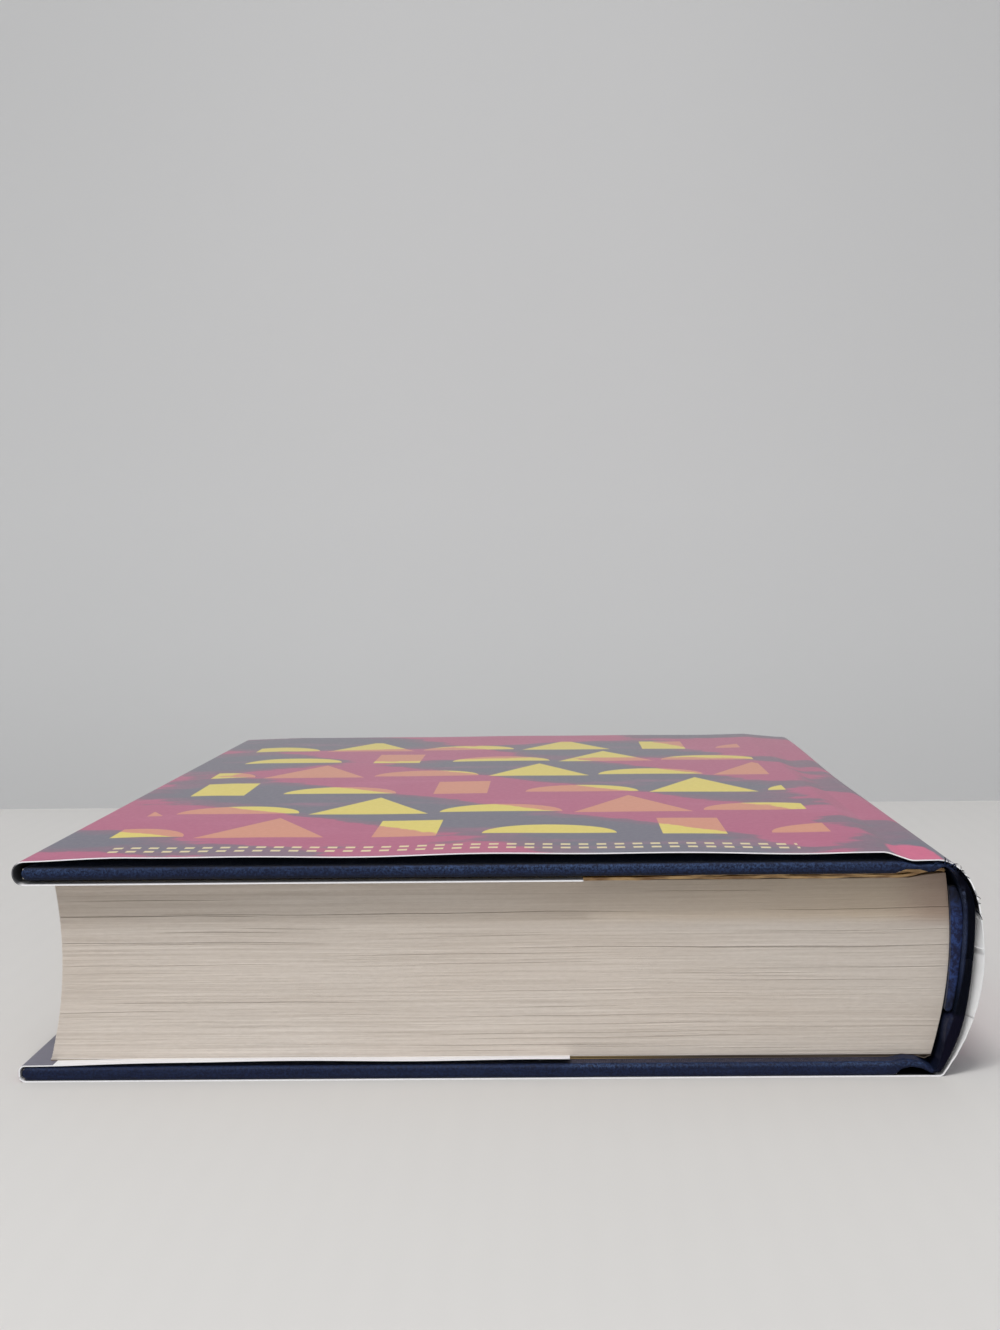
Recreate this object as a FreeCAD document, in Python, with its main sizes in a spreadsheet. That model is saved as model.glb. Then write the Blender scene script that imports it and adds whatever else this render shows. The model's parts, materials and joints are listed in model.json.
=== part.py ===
"""A case-bound book in its paper jacket, lying on its back cover.

The book lies with +Z up, its head (top edge) towards -Y, its spine towards +X and its
front cover on top.  The origin is under the middle of the closed book, on the surface
that it lies on.  All sizes are millimetres.

The front cover and the back cover each turn about a line in their own joint, the
bending groove beside the spine.  What bends there on the real book, the cloth, the
endpapers and the jacket, is parted at that line.
"""
import FreeCAD, Part
import math
import os
import re
import Sketcher

# Driving sizes: name, value, what it measures.
SIZES = (
    ("leaf_height", 229.0, "head to tail of the leaves"),
    ("leaf_width", 149.5, "fore edge to spine, along the last leaf"),
    ("block_depth", 29.8, "thickness of the closed leaves"),
    ("fore_hollow", 1.6, "depth of the hollow of the fore edge"),
    ("spine_round", 1.65, "rise of the rounded spine of the leaves"),
    ("fore_lean", 1.2, "how far the first leaf's fore edge has slipped to the spine"),
    ("spine_lean", 2.5, "how far the first leaf's spine edge stands out past the last"),
    ("board", 1.7, "thickness of a cover board"),
    ("cloth", 0.3, "thickness of the book cloth"),
    ("turn_in", 15.0, "width of cloth turned in over the board's edge"),
    ("endpaper", 0.15, "thickness of the endpaper"),
    ("jacket", 0.2, "thickness of the jacket paper"),
    ("square", 3.2, "board beyond the leaves at head and tail"),
    ("fore_square", 3.8, "back board beyond the last leaf at the fore edge"),
    ("board_setback", 6.3, "last leaf's spine edge to the edge of the back board"),
    ("cover_slip", 0.6, "how far the front board has slipped to the spine"),
    ("cover_gap", 0.2, "air between the leaves and what lies on a cover"),
    ("front_air", 0.5, "air between the front flap and the paste-down"),
    ("front_lift", 1.3, "air between the front board and the jacket over it"),
    ("groove_dip", 0.6, "depth of the front joint's groove in the cloth"),
    ("groove_width", 7.4, "front board's spine edge to the front hinge line"),
    ("groove_sink", 0.3, "how much deeper the groove is beside the board than at the hinge"),
    ("groove_start", 1.7, "front board's edge to the deepest line of the groove"),
    ("groove_bend", 1.2, "radius of the cloth's bend in the groove"),
    ("lip", 0.2, "front board's edge to where its cloth starts to dip"),
    ("lip_bend", 0.6, "radius of the cloth's bend over that edge"),
    ("strip_lap", 2.0, "how far the joint's strip of cloth runs on over the board"),
    ("paste_start", 0.6, "front board's edge to where the paste-down starts to rise"),
    ("paste_rise", 1.9, "front board's edge to where it has risen, under the joint"),
    ("paste_short", 1.4, "how far the paste-down stops short of the hinge line"),
    ("joint_bend", 0.8, "radius of the tight bends of cloth and endpaper in a joint"),
    ("arch_edge", 0.3, "height of the back joint's cloth at the hinge, above the foot"),
    ("arch_rise", 1.0, "height of its arch above the foot"),
    ("arch_fall", 0.1, "how far the arch has fallen at its spine end"),
    ("arch_start", 1.2, "back hinge to the start of the arch"),
    ("arch_end", 3.2, "end of the arch to the foot of the spine"),
    ("arch_bend", 1.0, "radius of the bends at its spine end"),
    ("foot_out", 0.8, "foot of the spine beyond the last leaf's spine edge"),
    ("foot_rise", 0.4, "height of the foot above the jacket"),
    ("foot_width", 1.5, "width of the foot"),
    ("inlay", 1.0, "thickness of the card strip in the case's spine"),
    ("spine_hollow", 0.275, "air between a headband's bead and the case's spine"),
    ("jacket_air", 1.25, "air between the case's spine and the jacket at its outermost"),
    ("heel_in", 2.1, "how far the spine has drawn in at the end of its heel"),
    ("heel_rise", 7.9, "height of the spine's heel"),
    ("heel_bow", 2.55, "how far the heel stands out past the foot at half its height"),
    ("case_swell", 0.75, "share of the spine's height where the case is outermost"),
    ("inlay_drop", 5.0, "top of the spine card below the groove"),
    ("mull", 0.3, "thickness of the gauze glued to the leaves' spine"),
    ("lining", 0.4, "thickness of the paper glued over the gauze"),
    ("band_bead", 1.5, "thickness of a headband's bead"),
    ("band_cloth", 0.4, "thickness of a headband's tape"),
    ("band_tape", 11.0, "width of a headband's tape along the spine"),
    ("band_low", 2.0, "lower end of a headband above the heel"),
    ("band_high", 1.2, "upper end of a headband below the top of the spine card"),
    ("bead_out", 0.2, "middle of a bead beyond the leaves, as a share of its thickness"),
    ("bead_round", 0.44, "radius of a bead's rounding, as a share of its thickness"),
    ("mull_short", 1.0, "gap between a headband's tape and the gauze"),
    ("fly_short", 0.2, "how far an endpaper's free leaf stops short of the spine edge"),
    ("flap_front", 96.0, "width of the front flap, from its fold"),
    ("flap_back", 93.0, "width of the back flap, from its fold"),
    ("jacket_swell", 0.555, "share of the spine's height where the jacket is outermost"),
    ("jacket_round", 1.0, "how far the jacket's spine draws in below its shoulder"),
    ("jacket_foot", 0.5, "foot of the jacket's spine beyond the foot of the case"),
    ("shoulder_drop", 6.3, "start of the jacket's shoulder below the case's top"),
    ("shoulder_out", 3.5, "middle of the shoulder beyond the front hinge line"),
    ("shoulder_low", 2.0, "middle of the shoulder below the case's top"),
    ("dip_top", 2.2, "where the jacket starts to dip, back from the front board's edge"),
    ("dip_end", 1.9, "where it has dipped, beyond that edge"),
    ("dip_lift", 0.05, "dipped jacket above the case's top"),
    ("dip_bend", 2.0, "radius of the bend where the dip ends"),
    ("dip_bend_top", 3.0, "radius of the bend where it starts"),
    ("panel_fall", 0.6, "how far the front panel falls towards its fold"),
    ("panel_run", 18.0, "width over which it falls"),
    ("panel_bend", 60.0, "radius of the bend where the fall starts"),
    ("fold_top", 1.5, "radius of the front fold above"),
    ("fold_low", 1.2, "radius of the front fold below"),
    ("fold_slack", 1.35, "air between the front board's edge and the jacket's fold"),
    ("back_slack", 0.3, "air between the back board's edge and the jacket's fold"),
    ("jacket_trim", 0.2, "how much shorter the jacket is than the case, at each end"),
    ("joint_gap", 0.3, "gap where a sheet is parted at a hinge line"),
)
NAMES = {name for name, value, meaning in SIZES}

# Places worked out from the driving sizes.
PLACES = {
    # From the last leaf's spine edge to the outermost cloth and to the outermost jacket.
    "case_out": "spine_lean * 0.75 + spine_round + band_bead + spine_hollow"
                " + 2 * cloth + inlay",
    "spine_reach": "case_out + jacket_air + jacket",
    # Across the book.  The jacket's fold and the jacket's spine are its two extremes.
    "half_span": "(jacket + fold_slack + cloth + leaf_width + fore_square"
                 " - cover_slip + spine_reach) / 2",
    "last_spine_x": "half_span - spine_reach",
    "last_fore_x": "last_spine_x - leaf_width",
    "back_fore_x": "last_fore_x - fore_square",
    "back_edge_x": "last_spine_x - board_setback",
    "front_fore_x": "back_fore_x + cover_slip",
    "front_edge_x": "back_edge_x + cover_slip",
    "front_hinge_x": "front_edge_x + groove_width",
    "back_part_x": "back_edge_x + joint_gap",
    "case_out_x": "last_spine_x + case_out",
    "back_fold_x": "back_fore_x - cloth - back_slack - jacket",
    # Up the book.
    "back_board_z": "jacket + cloth",
    "back_paste_z": "back_board_z + board + cloth",
    "back_flap_z": "back_paste_z + endpaper",
    "back_fly_z": "back_flap_z + jacket + cover_gap",
    "block_z": "back_fly_z + endpaper",
    "block_top_z": "block_z + block_depth",
    "front_flap_z": "block_top_z + endpaper + cover_gap",
    "front_paste_z": "front_flap_z + jacket + front_air",
    "front_turn_z": "front_paste_z + endpaper",
    "front_board_z": "front_turn_z + cloth",
    "case_top_z": "front_board_z + board + cloth",
    "jacket_top_z": "case_top_z + front_lift + jacket",
    "groove_z": "case_top_z - groove_dip",
    "jacket_groove_z": "case_top_z + dip_lift",
    "foot_x": "last_spine_x + foot_out",
    "foot_z": "jacket + foot_rise",
    "case_out_z": "foot_z + (case_top_z - foot_z) * case_swell",
    "jacket_out_z": "foot_z + (case_top_z - foot_z) * jacket_swell",
    "heel_z": "foot_z + heel_rise",
    "inlay_top_z": "groove_z - inlay_drop",
    # Along the book.
    "case_height": "leaf_height + 2 * square + 2 * cloth",
    "board_height": "leaf_height + 2 * square",
    "jacket_height": "case_height - 2 * jacket_trim",
}


def formula(text):
    """Spell a formula in the names above out in the sheet's own cells."""
    def spell(match):
        word = match.group(0)
        if word in PLACES:
            return "(" + formula(PLACES[word]) + ")"
        return "Sizes." + word if word in NAMES else word
    return re.sub(r"[a-z_]+", spell, text)


doc = FreeCAD.newDocument("hardcover_book")
sheet = doc.addObject("Spreadsheet::Sheet", "Sizes")
for row, (name, value, meaning) in enumerate(SIZES, 1):
    sheet.set(f"A{row}", meaning)
    sheet.set(f"B{row}", str(value))
    sheet.setAlias(f"B{row}", name)
doc.recompute()


def number(text):
    """Value of a formula now."""
    return float(sheet.evalExpression(formula(text)))


def bind(thing, prop, text):
    """Tie a property to the sheet."""
    thing.setExpression(prop, formula(text))


# ---- Outlines -------------------------------------------------------------------------
# An outline is a list of points (x, z), each a pair of formulas.  Between two points goes
# a line, or what the second point says: via=(x, z) is an arc through a third point, and
# level=True an arc with its centre level with that point, or with the point before it if
# level="start".  bend=formula rounds the corner at a point between two lines.

def point(x, z, via=None, level=None, bend=None):
    return {"x": x, "z": z, "via": via, "level": level, "bend": bend}


def place(x, z):
    return FreeCAD.Vector(number(x), number(z), 0)


def arc_centre(start, end, step):
    """Centre of the arc from start to end."""
    if step["via"]:
        return Part.Circle(start, place(*step["via"]), end).Center
    level = start.y if step["level"] == "start" else end.y
    middle = (start + end) * 0.5
    run = end - start
    return FreeCAD.Vector(middle.x - (level - middle.y) * run.y / run.x, level, 0)


def short_arc(start, end, centre):
    """The shorter arc between two points, and which of its ends the path meets first."""
    first = start - centre
    last = end - centre
    angles = [math.atan2(first.y, first.x), math.atan2(last.y, last.x)]
    forward = first.x * last.y - first.y * last.x > 0
    if not forward:
        angles.reverse()
    if angles[1] < angles[0]:
        angles[1] += 2 * math.pi
    circle = Part.Circle(centre, FreeCAD.Vector(0, 0, 1), first.Length)
    return Part.ArcOfCircle(circle, *angles), (1, 2) if forward else (2, 1)


def pin_down(sketch, geometry, end, x, z):
    """Hold one end of a piece of a sketch at a place that the sheet gives."""
    spot = place(x, z)
    across = sketch.addConstraint(Sketcher.Constraint("DistanceX", -1, 1, geometry, end, spot.x))
    bind(sketch, f"Constraints[{across}]", x)
    up = sketch.addConstraint(Sketcher.Constraint("DistanceY", -1, 1, geometry, end, spot.y))
    bind(sketch, f"Constraints[{up}]", z)


def marker(sketch, x, z):
    """A construction point at a place that the sheet gives."""
    mark = sketch.addGeometry(Part.Point(place(x, z)), True)
    pin_down(sketch, mark, 1, x, z)
    return mark


def rounding(points, index):
    """Where the bend at a corner starts and ends, and its centre."""
    before, corner, after = [place(points[(index + k) % len(points)]["x"],
                                   points[(index + k) % len(points)]["z"]) for k in (-1, 0, 1)]
    back = (before - corner).normalize()
    ahead = (after - corner).normalize()
    radius = number(points[index]["bend"])
    half = back.getAngle(ahead) / 2
    reach = radius / math.tan(half)
    middle = (back + ahead).normalize() * (radius / math.sin(half))
    return corner + back * reach, corner + ahead * reach, corner + middle


def draw(sketch, points, closed):
    """Draw an outline in a sketch, each point tied to the sheet."""
    count = len(points)
    leave = {}
    reach = {}
    for index, here in enumerate(points):
        spot = place(here["x"], here["z"])
        reach[index] = leave[index] = spot
        if here["bend"]:
            reach[index], leave[index], centre = rounding(points, index)
    links = {}
    for index in range(count if closed else count - 1):
        other = (index + 1) % count
        step = points[other]
        start, end = leave[index], reach[other]
        if step["via"] or step["level"]:
            centre = arc_centre(start, end, step)
            arc, ends = short_arc(start, end, centre)
            piece = sketch.addGeometry(arc, False)
            if step["via"]:
                mark = marker(sketch, *step["via"])
                sketch.addConstraint(Sketcher.Constraint("PointOnObject", mark, 1, piece))
            else:
                level = points[index]["z"] if step["level"] == "start" else step["z"]
                held = sketch.addConstraint(
                    Sketcher.Constraint("DistanceY", -1, 1, piece, 3, centre.y))
                bind(sketch, f"Constraints[{held}]", level)
        else:
            piece = sketch.addGeometry(Part.LineSegment(start, end), False)
            ends = (1, 2)
        links[index] = (piece, ends)
    for index, here in enumerate(points):
        into = links.get((index - 1) % count if closed else index - 1)
        out = links.get(index)
        if here["bend"]:
            start, end, centre = rounding(points, index)
            arc, ends = short_arc(start, end, centre)
            round_piece = sketch.addGeometry(arc, False)
            corner = marker(sketch, here["x"], here["z"])
            sketch.addConstraint(Sketcher.Constraint("PointOnObject", corner, 1, into[0]))
            sketch.addConstraint(Sketcher.Constraint("PointOnObject", corner, 1, out[0]))
            sketch.addConstraint(
                Sketcher.Constraint("Tangent", into[0], into[1][1], round_piece, ends[0]))
            sketch.addConstraint(
                Sketcher.Constraint("Tangent", round_piece, ends[1], out[0], out[1][0]))
            radius = sketch.addConstraint(
                Sketcher.Constraint("Radius", round_piece, number(here["bend"])))
            bind(sketch, f"Constraints[{radius}]", here["bend"])
            continue
        if into and out:
            sketch.addConstraint(
                Sketcher.Constraint("Coincident", into[0], into[1][1], out[0], out[1][0]))
        held = (into[0], into[1][1]) if into else (out[0], out[1][0])
        pin_down(sketch, *held, here["x"], here["z"])


# ---- Solids ---------------------------------------------------------------------------

def origin_plane(body, role):
    return next(f for f in body.Origin.OriginFeatures if f.Role == role)


def padded_body(label, points, width):
    """A PartDesign body: an outline across the book, padded evenly along it."""
    body = doc.addObject("PartDesign::Body", label)
    body.Label = label
    sketch = body.newObject("Sketcher::SketchObject", label + "_outline")
    sketch.AttachmentSupport = [(origin_plane(body, "XZ_Plane"), "")]
    sketch.MapMode = "FlatFace"
    draw(sketch, points, closed=True)
    doc.recompute()
    pad = body.newObject("PartDesign::Pad", label + "_pad")
    pad.Profile = sketch
    pad.Midplane = True
    bind(pad, "Length", width)
    doc.recompute()
    return body


def line_of(name, points):
    """An open outline across the book, for a sheet to follow."""
    sketch = doc.addObject("Sketcher::SketchObject", name)
    sketch.Placement = FreeCAD.Placement(
        FreeCAD.Vector(), FreeCAD.Rotation(FreeCAD.Vector(1, 0, 0), 90))
    draw(sketch, points, closed=False)
    doc.recompute()
    return sketch


def offset_line(name, source, distance, fill):
    """A line beside another at a distance, or the strip between the two."""
    strip = doc.addObject("Part::Offset2D", name)
    strip.Source = source
    strip.Mode = "Skin"
    strip.Join = "Intersection"
    strip.Fill = fill
    bind(strip, "Value", distance)
    doc.recompute()
    return strip


def run_along(name, strip, width):
    """A strip across the book, extruded evenly along it."""
    solid = doc.addObject("Part::Extrusion", name)
    solid.Base = strip
    solid.DirMode = "Custom"
    solid.Dir = FreeCAD.Vector(0, 1, 0)
    solid.Solid = True
    solid.Symmetric = True
    bind(solid, "LengthFwd", width)
    doc.recompute()
    return solid


def sheet_along(name, line, start, thickness, width):
    """A sheet that follows a line, from a distance beside it and of a thickness."""
    if start != "0":
        line = offset_line(name + "_face", line, start, False)
    return run_along(name, offset_line(name + "_strip", line, thickness, True), width)


def block(name, low, high):
    """A box between two corners (x, y, z), each a formula."""
    box = doc.addObject("Part::Box", name)
    for side, first, last in zip(("Length", "Width", "Height"), low, high):
        bind(box, side, f"{last} - ({first})")
    for axis, first in zip("xyz", low):
        bind(box, f"Placement.Base.{axis}", first)
    doc.recompute()
    return box


def cut(name, base, tool):
    made = doc.addObject("Part::Cut", name)
    made.Base = base
    made.Tool = tool
    doc.recompute()
    return made


def common(name, base, tool):
    made = doc.addObject("Part::Common", name)
    made.Base = base
    made.Tool = tool
    doc.recompute()
    return made


def fuse(name, shapes):
    made = doc.addObject("Part::MultiFuse", name)
    made.Shapes = shapes
    made.Refine = True
    doc.recompute()
    return made


def slab(label, fore_x, spine_x, z, thickness, width):
    """A flat sheet or board, given by its two long edges and its underside."""
    return padded_body(label, [
        point(fore_x, z),
        point(spine_x, z),
        point(spine_x, f"{z} + {thickness}"),
        point(fore_x, f"{z} + {thickness}"),
    ], width)


def named(label, thing):
    """Give a finished sub-part the name that its file takes."""
    thing.Label = label
    return thing


# ---- The leaves and what is glued to them ---------------------------------------------

# The first leaf's spine edge, and the middle of the rounded spine.
SPINE_TOP = ("last_spine_x + spine_lean", "block_top_z")
SPINE_MIDDLE = ("last_spine_x + spine_lean / 2 + spine_round", "block_z + block_depth / 2")
# Length of the spine that is left free between the headbands' tapes.
BAND_FREE = "leaf_height - 2 * (band_tape + mull_short)"


def text_block():
    """All leaves as one solid: hollow fore edge, rounded spine, slipped as books slip."""
    return padded_body("text_block", [
        point("last_fore_x", "block_z",
              via=("last_fore_x + fore_lean / 2 + fore_hollow", "block_z + block_depth / 2")),
        point("last_spine_x", "block_z"),
        point(*SPINE_TOP, via=SPINE_MIDDLE),
        point("last_fore_x + fore_lean", "block_top_z"),
    ], "leaf_height")


def spine_layer(name, start, thickness, width):
    """A layer glued over the rounded spine of the leaves."""
    line = line_of(name + "_line", [
        point("last_spine_x", "block_z"),
        point(*SPINE_TOP, via=SPINE_MIDDLE),
    ])
    return sheet_along(name, line, start, f"-({thickness})", width)


def headband(label, end):
    """A band at one end of the spine: a round bead over the edge, a tape down the spine."""
    tape = spine_layer(label + "_tape", "0", "band_cloth", "band_tape")
    bind(tape, "Placement.Base.y", f"{end} * (leaf_height - band_tape) / 2")
    bead = spine_layer(label + "_bar", "0", "band_bead", "band_bead")
    bind(bead, "Placement.Base.y", f"{end} * (leaf_height / 2 + band_bead * bead_out)")
    doc.recompute()
    rounded = doc.addObject("Part::Fillet", label + "_bead")
    rounded.Base = bead
    long_edges = [index for index, edge in enumerate(bead.Shape.Edges, 1)
                  if edge.Length > number("block_depth") / 2]
    soft = number("band_bead * bead_round")
    rounded.Edges = [(index, soft, soft) for index in long_edges]
    doc.recompute()
    band = common(label + "_cut", fuse(label + "_whole", [tape, rounded]), block(
        label + "_room", (f"last_spine_x - {CLEAR}", "-leaf_height", "heel_z + band_low"),
        ("half_span", "leaf_height", "inlay_top_z - band_high")))
    return named(label, band)


# ---- The case: boards, spine card and cloth -------------------------------------------

# Outer face of the case's spine, from its foot over its heel to the front hinge.
SPINE_RUN = [
    point("foot_x", "foot_z"),
    point("case_out_x - heel_in", "heel_z", via=("foot_x + heel_bow", "foot_z + heel_rise / 2")),
    point("case_out_x", "case_out_z", level="end"),
    point("front_hinge_x + joint_gap / 2", "groove_z", level="start"),
]
# How far a block that cuts or keeps a region reaches past what it meets.
CLEAR = "5"


def board_cloth(name, fore_x, edge_x, board_z, low_z, high_z):
    """Cloth all round a board but for the edge at its joint."""
    hug = block(name + "_hug", (f"{fore_x} - cloth", "-case_height / 2", low_z),
                (edge_x, "case_height / 2", high_z))
    room = block(name + "_board", (fore_x, "-board_height / 2", board_z),
                 (f"{edge_x} + {CLEAR}", "board_height / 2", f"{board_z} + board"))
    return cut(name + "_sleeve", hug, room)


def case_line(name):
    """Outer face of the case's spine, from its foot to the front hinge."""
    return line_of(name, SPINE_RUN)


def spine_cloth():
    """Cloth of the spine and both joints' fixed strips, turned in over the spine card."""
    whole = line_of("spine_cloth_line", [
        point("back_part_x", "foot_z + arch_edge"),
        point("back_part_x + arch_start", "foot_z + arch_rise", bend="joint_bend"),
        point("foot_x - arch_end", "foot_z + arch_rise - arch_fall", bend="arch_bend"),
        point("foot_x - foot_width", "foot_z", bend="arch_bend"),
    ] + SPINE_RUN)
    outer = sheet_along("spine_cloth_outer", whole, "0", "cloth", "case_height")
    thick = sheet_along("spine_cloth_fold", case_line("fold_line"), "0", "2 * cloth + inlay",
                        "case_height")
    fold = common("spine_cloth_ends", thick, card_room("fold_room"))
    card = sheet_along("spine_cloth_card", case_line("slot_line"), "cloth", "inlay",
                       "board_height")
    window = sheet_along("spine_cloth_window", case_line("window_line"), "cloth",
                         "2 * cloth + inlay", "case_height - 2 * turn_in")
    turned = cut("spine_cloth_turned", cut("spine_cloth_slot", fold, card), window)
    return named("cover_cloth_spine", fuse("spine_cloth", [outer, turned]))


def card_room(name):
    """The height over which the case's spine card runs."""
    return block(name, (f"last_spine_x - {CLEAR}", "-case_height", "heel_z"),
                 (f"half_span + {CLEAR}", "case_height", "inlay_top_z"))


def spine_card():
    card = sheet_along("spine_card", case_line("card_line"), "cloth", "inlay", "board_height")
    return named("spine_inlay", common("spine_card_cut", card, card_room("card_room")))


def front_cloth():
    """Cloth of the front board, with the strip of the front joint up to the hinge."""
    sleeve = board_cloth("front_cloth", "front_fore_x", "front_edge_x", "front_board_z",
                         "front_turn_z", "case_top_z")
    window = block("front_cloth_window",
                   ("front_fore_x + turn_in", "turn_in - board_height / 2",
                    f"front_turn_z - {CLEAR}"),
                   (f"front_edge_x + {CLEAR}", "board_height / 2 - turn_in", "front_board_z"))
    line = line_of("front_groove_line", [
        point("front_hinge_x - joint_gap / 2", "groove_z"),
        point("front_edge_x + groove_start", "groove_z - groove_sink", bend="groove_bend"),
        point("front_edge_x + lip", "case_top_z", bend="lip_bend"),
        point("front_edge_x - strip_lap", "case_top_z"),
    ])
    strip = sheet_along("front_groove", line, "0", "cloth", "case_height")
    return named("cover_cloth_front",
                 fuse("front_cloth", [cut("front_cloth_cut", sleeve, window), strip]))


def back_cloth():
    """Cloth of the back board, up to the board's edge at the back joint."""
    sleeve = board_cloth("back_cloth", "back_fore_x", "back_edge_x", "back_board_z",
                         "jacket", "back_paste_z")
    window = block("back_cloth_window",
                   ("back_fore_x + turn_in", "turn_in - board_height / 2", "back_paste_z - cloth"),
                   (f"back_edge_x + {CLEAR}", "board_height / 2 - turn_in",
                    f"back_paste_z + {CLEAR}"))
    return named("cover_cloth_back", cut("back_cloth", sleeve, window))


def front_paste_down():
    """The front endpaper's glued half, with its strip across the joint."""
    line = line_of("front_paste_line", [
        point("front_hinge_x - paste_short", "groove_z - groove_sink - cloth"),
        point("front_edge_x + paste_rise", "groove_z - groove_sink - cloth", bend="joint_bend"),
        point("front_edge_x + paste_start", "front_turn_z", bend="joint_bend"),
        point("front_fore_x + fore_square", "front_turn_z"),
    ])
    return named("front_pastedown",
                 sheet_along("front_paste", line, "0", "endpaper", "leaf_height"))


# ---- The paper jacket -----------------------------------------------------------------

def jacket_front():
    """Front of the jacket: joint, panel standing off the board, fold and flap."""
    line = line_of("jacket_front_line", [
        point("front_hinge_x - joint_gap / 2", "jacket_groove_z"),
        point("front_edge_x + dip_end", "jacket_groove_z", bend="dip_bend"),
        point("front_edge_x - dip_top", "jacket_top_z", bend="dip_bend_top"),
        point("panel_run - half_span", "jacket_top_z", bend="panel_bend"),
        point("-half_span", "jacket_top_z - panel_fall", bend="fold_top"),
        point("-half_span", "front_flap_z", bend="fold_low"),
        point("flap_front - half_span", "front_flap_z"),
    ])
    return named("jacket_front", sheet_along("jacket_front_sheet", line, "0", "jacket",
                                             "jacket_height"))


def jacket_back():
    """Back of the jacket: flap, fold and panel, up to the edge of the back joint."""
    fold = "back_slack + jacket"
    line = line_of("jacket_back_line", [
        point("back_fold_x + flap_back", "back_flap_z + jacket"),
        point("back_fold_x", "back_flap_z + jacket", bend=fold),
        point("back_fold_x", "0", bend=fold),
        point("back_edge_x", "0"),
    ])
    return named("jacket_back", sheet_along("jacket_back_sheet", line, "0", "jacket",
                                            "jacket_height"))


def jacket_spine():
    """Spine of the jacket, bulging off the case, with its strip under the back joint."""
    line = line_of("jacket_spine_line", [
        point("back_part_x", "0"),
        point("foot_x + jacket_foot", "0"),
        point("half_span", "jacket_out_z", level="end"),
        point("half_span - jacket_round", "case_top_z - shoulder_drop", level="start"),
        point("front_hinge_x + joint_gap / 2", "jacket_groove_z",
              via=("front_hinge_x + shoulder_out", "case_top_z - shoulder_low")),
    ])
    return named("jacket_spine", sheet_along("jacket_spine_sheet", line, "0", "jacket",
                                             "jacket_height"))


# ---- The book, piece by piece ----------------------------------------------------------

SUB_PARTS = [
    text_block(),
    slab("front_flyleaf", "last_fore_x + fore_lean", "last_spine_x + spine_lean - fly_short",
         "block_top_z", "endpaper", "leaf_height"),
    slab("back_flyleaf", "last_fore_x", "last_spine_x - fly_short", "back_fly_z", "endpaper",
         "leaf_height"),
    named("spine_mull", spine_layer("mull_layer", "0", "mull", BAND_FREE)),
    named("spine_lining", spine_layer("lining_layer", "-mull", "lining", BAND_FREE)),
    headband("headband", "-1"),
    headband("tailband", "1"),
    spine_card(),
    spine_cloth(),
    jacket_spine(),
    slab("front_board", "front_fore_x", "front_edge_x", "front_board_z", "board",
         "board_height"),
    front_cloth(),
    front_paste_down(),
    jacket_front(),
    slab("back_board", "back_fore_x", "back_edge_x", "back_board_z", "board",
         "board_height"),
    back_cloth(),
    slab("back_pastedown", "back_fore_x + fore_square", "back_edge_x", "back_paste_z",
         "endpaper", "leaf_height"),
    jacket_back(),
]

doc.recompute()
for thing in doc.Objects:
    if {"Invalid", "Error"} & set(thing.State):
        raise RuntimeError(f"{thing.Label} failed: {thing.State}")
for part in SUB_PARTS:
    if part.Shape.isNull() or not part.Shape.isValid() or not part.Shape.Solids:
        raise RuntimeError(f"{part.Label} has no valid solid")

os.makedirs("parts", exist_ok=True)
for part in SUB_PARTS:
    part.Shape.exportStep(f"parts/{part.Label}.step")
    bounds = part.Shape.BoundBox
    print(f"{part.Label:18s} {len(part.Shape.Solids)} solid, {part.Shape.Volume:10.1f} mm3,"
          f" x {bounds.XMin:7.2f} {bounds.XMax:7.2f}, y {bounds.YMin:7.2f} {bounds.YMax:7.2f},"
          f" z {bounds.ZMin:6.2f} {bounds.ZMax:6.2f}")
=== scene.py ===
"""Looks of a case-bound book in a paper jacket: leaves, endpapers, cloth case, headbands,
printed jacket, and the plain table that it lies on."""
import json
import math
import random

import bmesh
import bpy
from mathutils import Matrix, Vector


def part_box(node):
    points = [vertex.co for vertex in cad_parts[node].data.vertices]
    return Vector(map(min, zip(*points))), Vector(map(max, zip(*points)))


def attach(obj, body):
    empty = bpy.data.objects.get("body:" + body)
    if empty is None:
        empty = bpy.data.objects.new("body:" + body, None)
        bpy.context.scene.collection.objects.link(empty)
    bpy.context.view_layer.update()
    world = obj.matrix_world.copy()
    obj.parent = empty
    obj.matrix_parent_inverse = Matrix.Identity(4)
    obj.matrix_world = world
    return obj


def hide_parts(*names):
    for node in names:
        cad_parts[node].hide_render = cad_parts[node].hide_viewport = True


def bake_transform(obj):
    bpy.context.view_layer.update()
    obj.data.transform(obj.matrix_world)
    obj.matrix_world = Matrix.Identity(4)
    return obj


bl_info = {
    "name": "Case-bound Book",
    "version": (1, 0, 0),
    "blender": (4, 5, 0),
    "location": "View3D > Sidebar > Book",
    "description": "Leaves, endpapers, cloth case, headbands and printed jacket of a book",
    "category": "Object",
}

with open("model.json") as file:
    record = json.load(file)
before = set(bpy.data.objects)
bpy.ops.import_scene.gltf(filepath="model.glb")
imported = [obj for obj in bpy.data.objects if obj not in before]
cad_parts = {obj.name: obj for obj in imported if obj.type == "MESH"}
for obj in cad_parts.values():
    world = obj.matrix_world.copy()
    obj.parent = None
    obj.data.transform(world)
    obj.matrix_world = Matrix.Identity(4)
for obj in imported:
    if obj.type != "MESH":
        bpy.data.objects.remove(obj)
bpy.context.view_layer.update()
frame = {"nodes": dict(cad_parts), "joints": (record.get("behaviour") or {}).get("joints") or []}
MM = 0.001


def hinge(name):
    """A joint's line, as a point at rest, in millimetres."""
    joint = next(j for j in frame["joints"] if j["name"] == name)
    return Vector(joint["pos_m"]) / MM


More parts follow.
